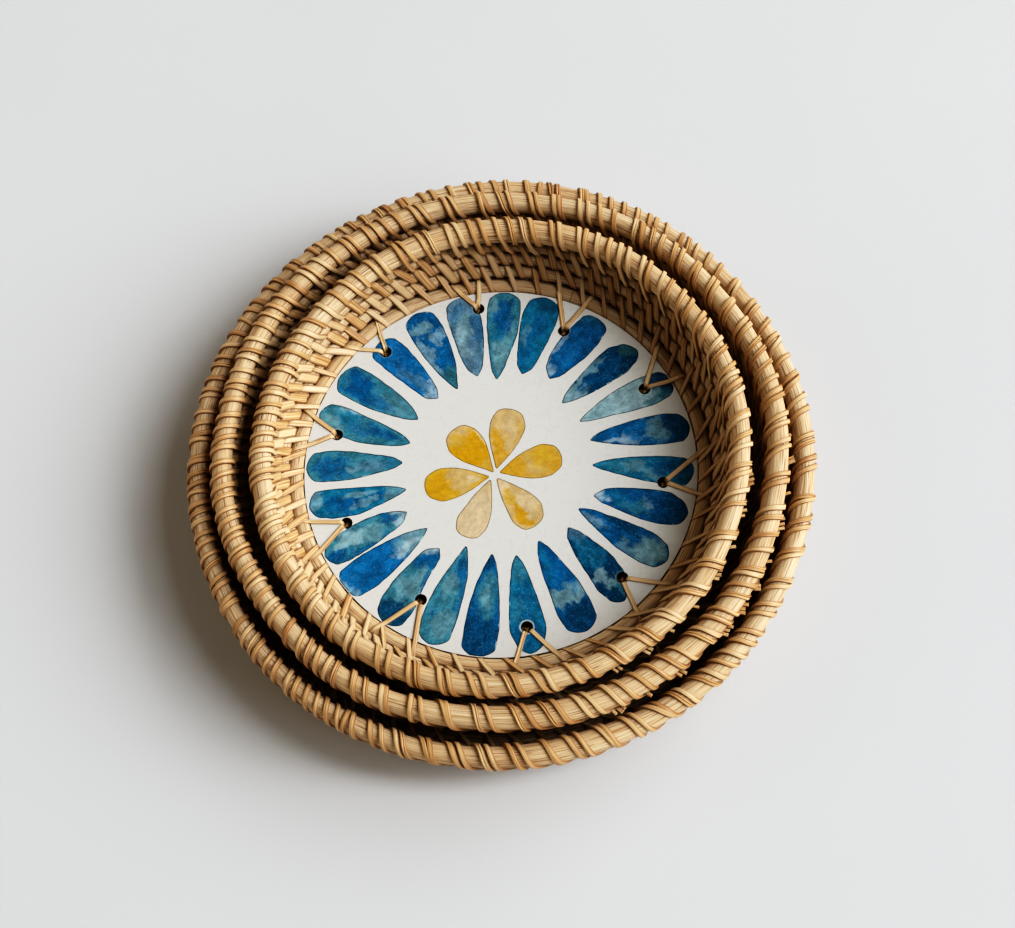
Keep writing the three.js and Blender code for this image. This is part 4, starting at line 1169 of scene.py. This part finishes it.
def build_floor(tray):
    n = tray.name
    holes = [(x, y) for x, y, *_ in tray.lacing]
    shift = np.array([*tray.foot, tray.z0])
    cut_holes = [circle(x, y, HOLE, 36) for x, y in holes]

    b = Build("halo")
    loose = np.concatenate([circle(x, y, HOLE + extra, 36) for x, y in holes for extra in (0.3, 0.8)])
    flat, faces = triangulate(circle(0, 0, tray.panel - 0.1, 200), cut_holes, loose)
    points, shell = slab(flat, faces, BOARD_TOP, BOARD_UNDER)
    halo = np.min([np.hypot(flat[:, 0] - x, flat[:, 1] - y) - HOLE for x, y in holes], axis=0)
    b.shell(points + shift, shell, points, 0.5, halo=np.concatenate([halo, halo]))
    b.make(n + "_base_board", tray, BOARD, [n + "_base_board"], 30)

    if n == "small":
        blue = [Petal(r, INLAY_SHIFT, 88.25, i + 1, bow=2.6 if i in (3, 14) else 1.6) for i, r in enumerate(BLUE_PETALS)]
        yellow = [Petal(r, INLAY_SHIFT, 88.25, i + 51, 0.035, 2.3, 1.1) for i, r in enumerate(YELLOW_PETALS)]
        for i, petal in enumerate(blue):
            name = f"small_blue_petal_{i + 1:02d}"
            b = Build("along", "across", "rim", "halo")
            add_petal(b, tray, petal, holes)
            b.make(name, tray, shell_blue(f"shell_blue_{i + 1:02d}", BLUE_DYE[i], 0.68 if i == 18 else 0.12), [name], 50)
        for i, petal in enumerate(yellow):
            name = f"small_yellow_petal_{i + 1:02d}"
            b = Build("along", "across", "rim", "halo")
            add_petal(b, tray, petal, holes)
            b.make(name, tray, shell_yellow(f"shell_yellow_{i + 1:02d}", YELLOW_DYE[i]), [name], 50)
    else:
        rows, inner = petal_rows(tray, 28 if n == "medium" else 32, tray.seed + 60)
        blue = [Petal(r, (0, 0), tray.panel - 1.2, tray.seed + i) for i, r in enumerate(rows)]
        yellow = [Petal(r, (0, 0), tray.panel - 1.2, tray.seed + 90 + i, soft=1.1) for i, r in enumerate(inner)]
        b = Build("along", "across", "rim", "halo")
        for petal in blue:
            add_petal(b, tray, petal, holes)
        b.make(n + "_blue_petals", tray, shell_blue(f"shell_blue_{n}", OUTER_BLUE, nested=tray), (), 50)
        b = Build("along", "across", "rim", "halo")
        for petal in yellow:
            add_petal(b, tray, petal, holes)
        b.make(n + "_yellow_petals", tray, shell_yellow(f"shell_yellow_{n}", OUTER_YELLOW), (), 50)

    b = Build("halo")
    windows = [petal.grown(0.15) for petal in blue + yellow]
    loose = np.concatenate([circle(x, y, HOLE + extra, 36) for x, y in holes for extra in (0.16, 0.5)])
    for window in windows:
        loose = loose[~inside_loop(loose, window)]
        loose = loose[loop_distance(loose, window) > 0.05]
    flat, faces = triangulate(circle(0, 0, tray.panel + 0.3, 240), cut_holes + windows, loose)
    points, shell = slab(flat, faces, FACE_TOP, FACE_UNDER)
    halo = np.min([np.hypot(flat[:, 0] - x, flat[:, 1] - y) - HOLE for x, y in holes], axis=0)
    b.shell(points + shift, shell, points, 0.5, halo=np.concatenate([halo, halo]))
    b.make(n + "_lacquer_face", tray, lacquer(f"lacquer_{n}", None if n == "small" else tray), [n + "_lacquer_face"], 30)


for tray in TRAYS:
    build_floor(tray)
    build_wall(tray)
    build_lacing(tray)

# --------------------------------------------------------- floor and lights

paint = Paint("pale_floor", 0.55, Specular_IOR_Level=0.25)
where = paint.place()
cloud = paint.noise(paint.scaled(where, (0.004, 0.004, 0.004)), detail=2)
paint.colour(paint.ramp(cloud, (0.3, (0.618, 0.634, 0.650)), (0.7, (0.638, 0.654, 0.670))))
mesh = bpy.data.meshes.new("pale_floor")
mesh.from_pydata([(-12, -12, -0.0004), (12, -12, -0.0004), (12, 12, -0.0004), (-12, 12, -0.0004)], [], [(0, 1, 2, 3)])
mesh.materials.append(paint.material)
ground = bpy.data.objects.new("pale_floor", mesh)
scene.collection.objects.link(ground)


def area_light(name, bearing, elevation, distance, wide, tall, watts, colour):
    data = bpy.data.lights.new(name, "AREA")
    data.shape, data.size, data.size_y, data.energy, data.color = "RECTANGLE", wide, tall, watts, colour
    lamp = bpy.data.objects.new(name, data)
    b, e = math.radians(bearing), math.radians(elevation)
    away = Vector((math.cos(b) * math.cos(e), math.sin(b) * math.cos(e), math.sin(e)))
    across = Vector((-math.sin(b), math.cos(b), 0))
    rise = away.cross(across)
    lamp.matrix_world = Matrix((
        (across.x, rise.x, away.x, away.x * distance),
        (across.y, rise.y, away.y, away.y * distance),
        (across.z, rise.z, away.z, away.z * distance),
        (0, 0, 0, 1)))
    scene.collection.objects.link(lamp)


# A tall window to the right, a low wide one beside it, a little light back from the left,
# the warm walls of the room low all round and its pale ceiling above.
area_light("window", -8.4, 38.5, 9.0, 1.9, 9.0, 760.0, (0.98, 0.996, 1.02))
area_light("wide_window", 6.0, 35.0, 9.0, 16.0, 4.6, 980.0, (0.98, 0.996, 1.02))
area_light("left_wall", 165, 20, 8.0, 4.0, 5.6, 110.0, (1.0, 0.86, 0.68))
world = bpy.data.worlds.new("room")
world.use_nodes = True
tree = world.node_tree
toward = tree.nodes.new("ShaderNodeTexCoord")
height = tree.nodes.new("ShaderNodeSeparateXYZ")
tree.links.new(toward.outputs["Generated"], height.inputs[0])
glow = tree.nodes.new("ShaderNodeMapRange")
glow.interpolation_type = "SMOOTHSTEP"
tree.links.new(height.outputs[2], glow.inputs["Value"])
for key, value in (("From Min", 0.34), ("From Max", 0.20)):
    glow.inputs[key].default_value = value
tint = tree.nodes.new("ShaderNodeMix")
tint.data_type = "RGBA"
tint.inputs[6].default_value = (0.142, 0.128, 0.108, 1)
tint.inputs[7].default_value = (1.02, 0.82, 0.56, 1)
tree.links.new(glow.outputs[0], tint.inputs[0])
tree.links.new(tint.outputs[2], tree.nodes["Background"].inputs["Color"])
scene.world = world
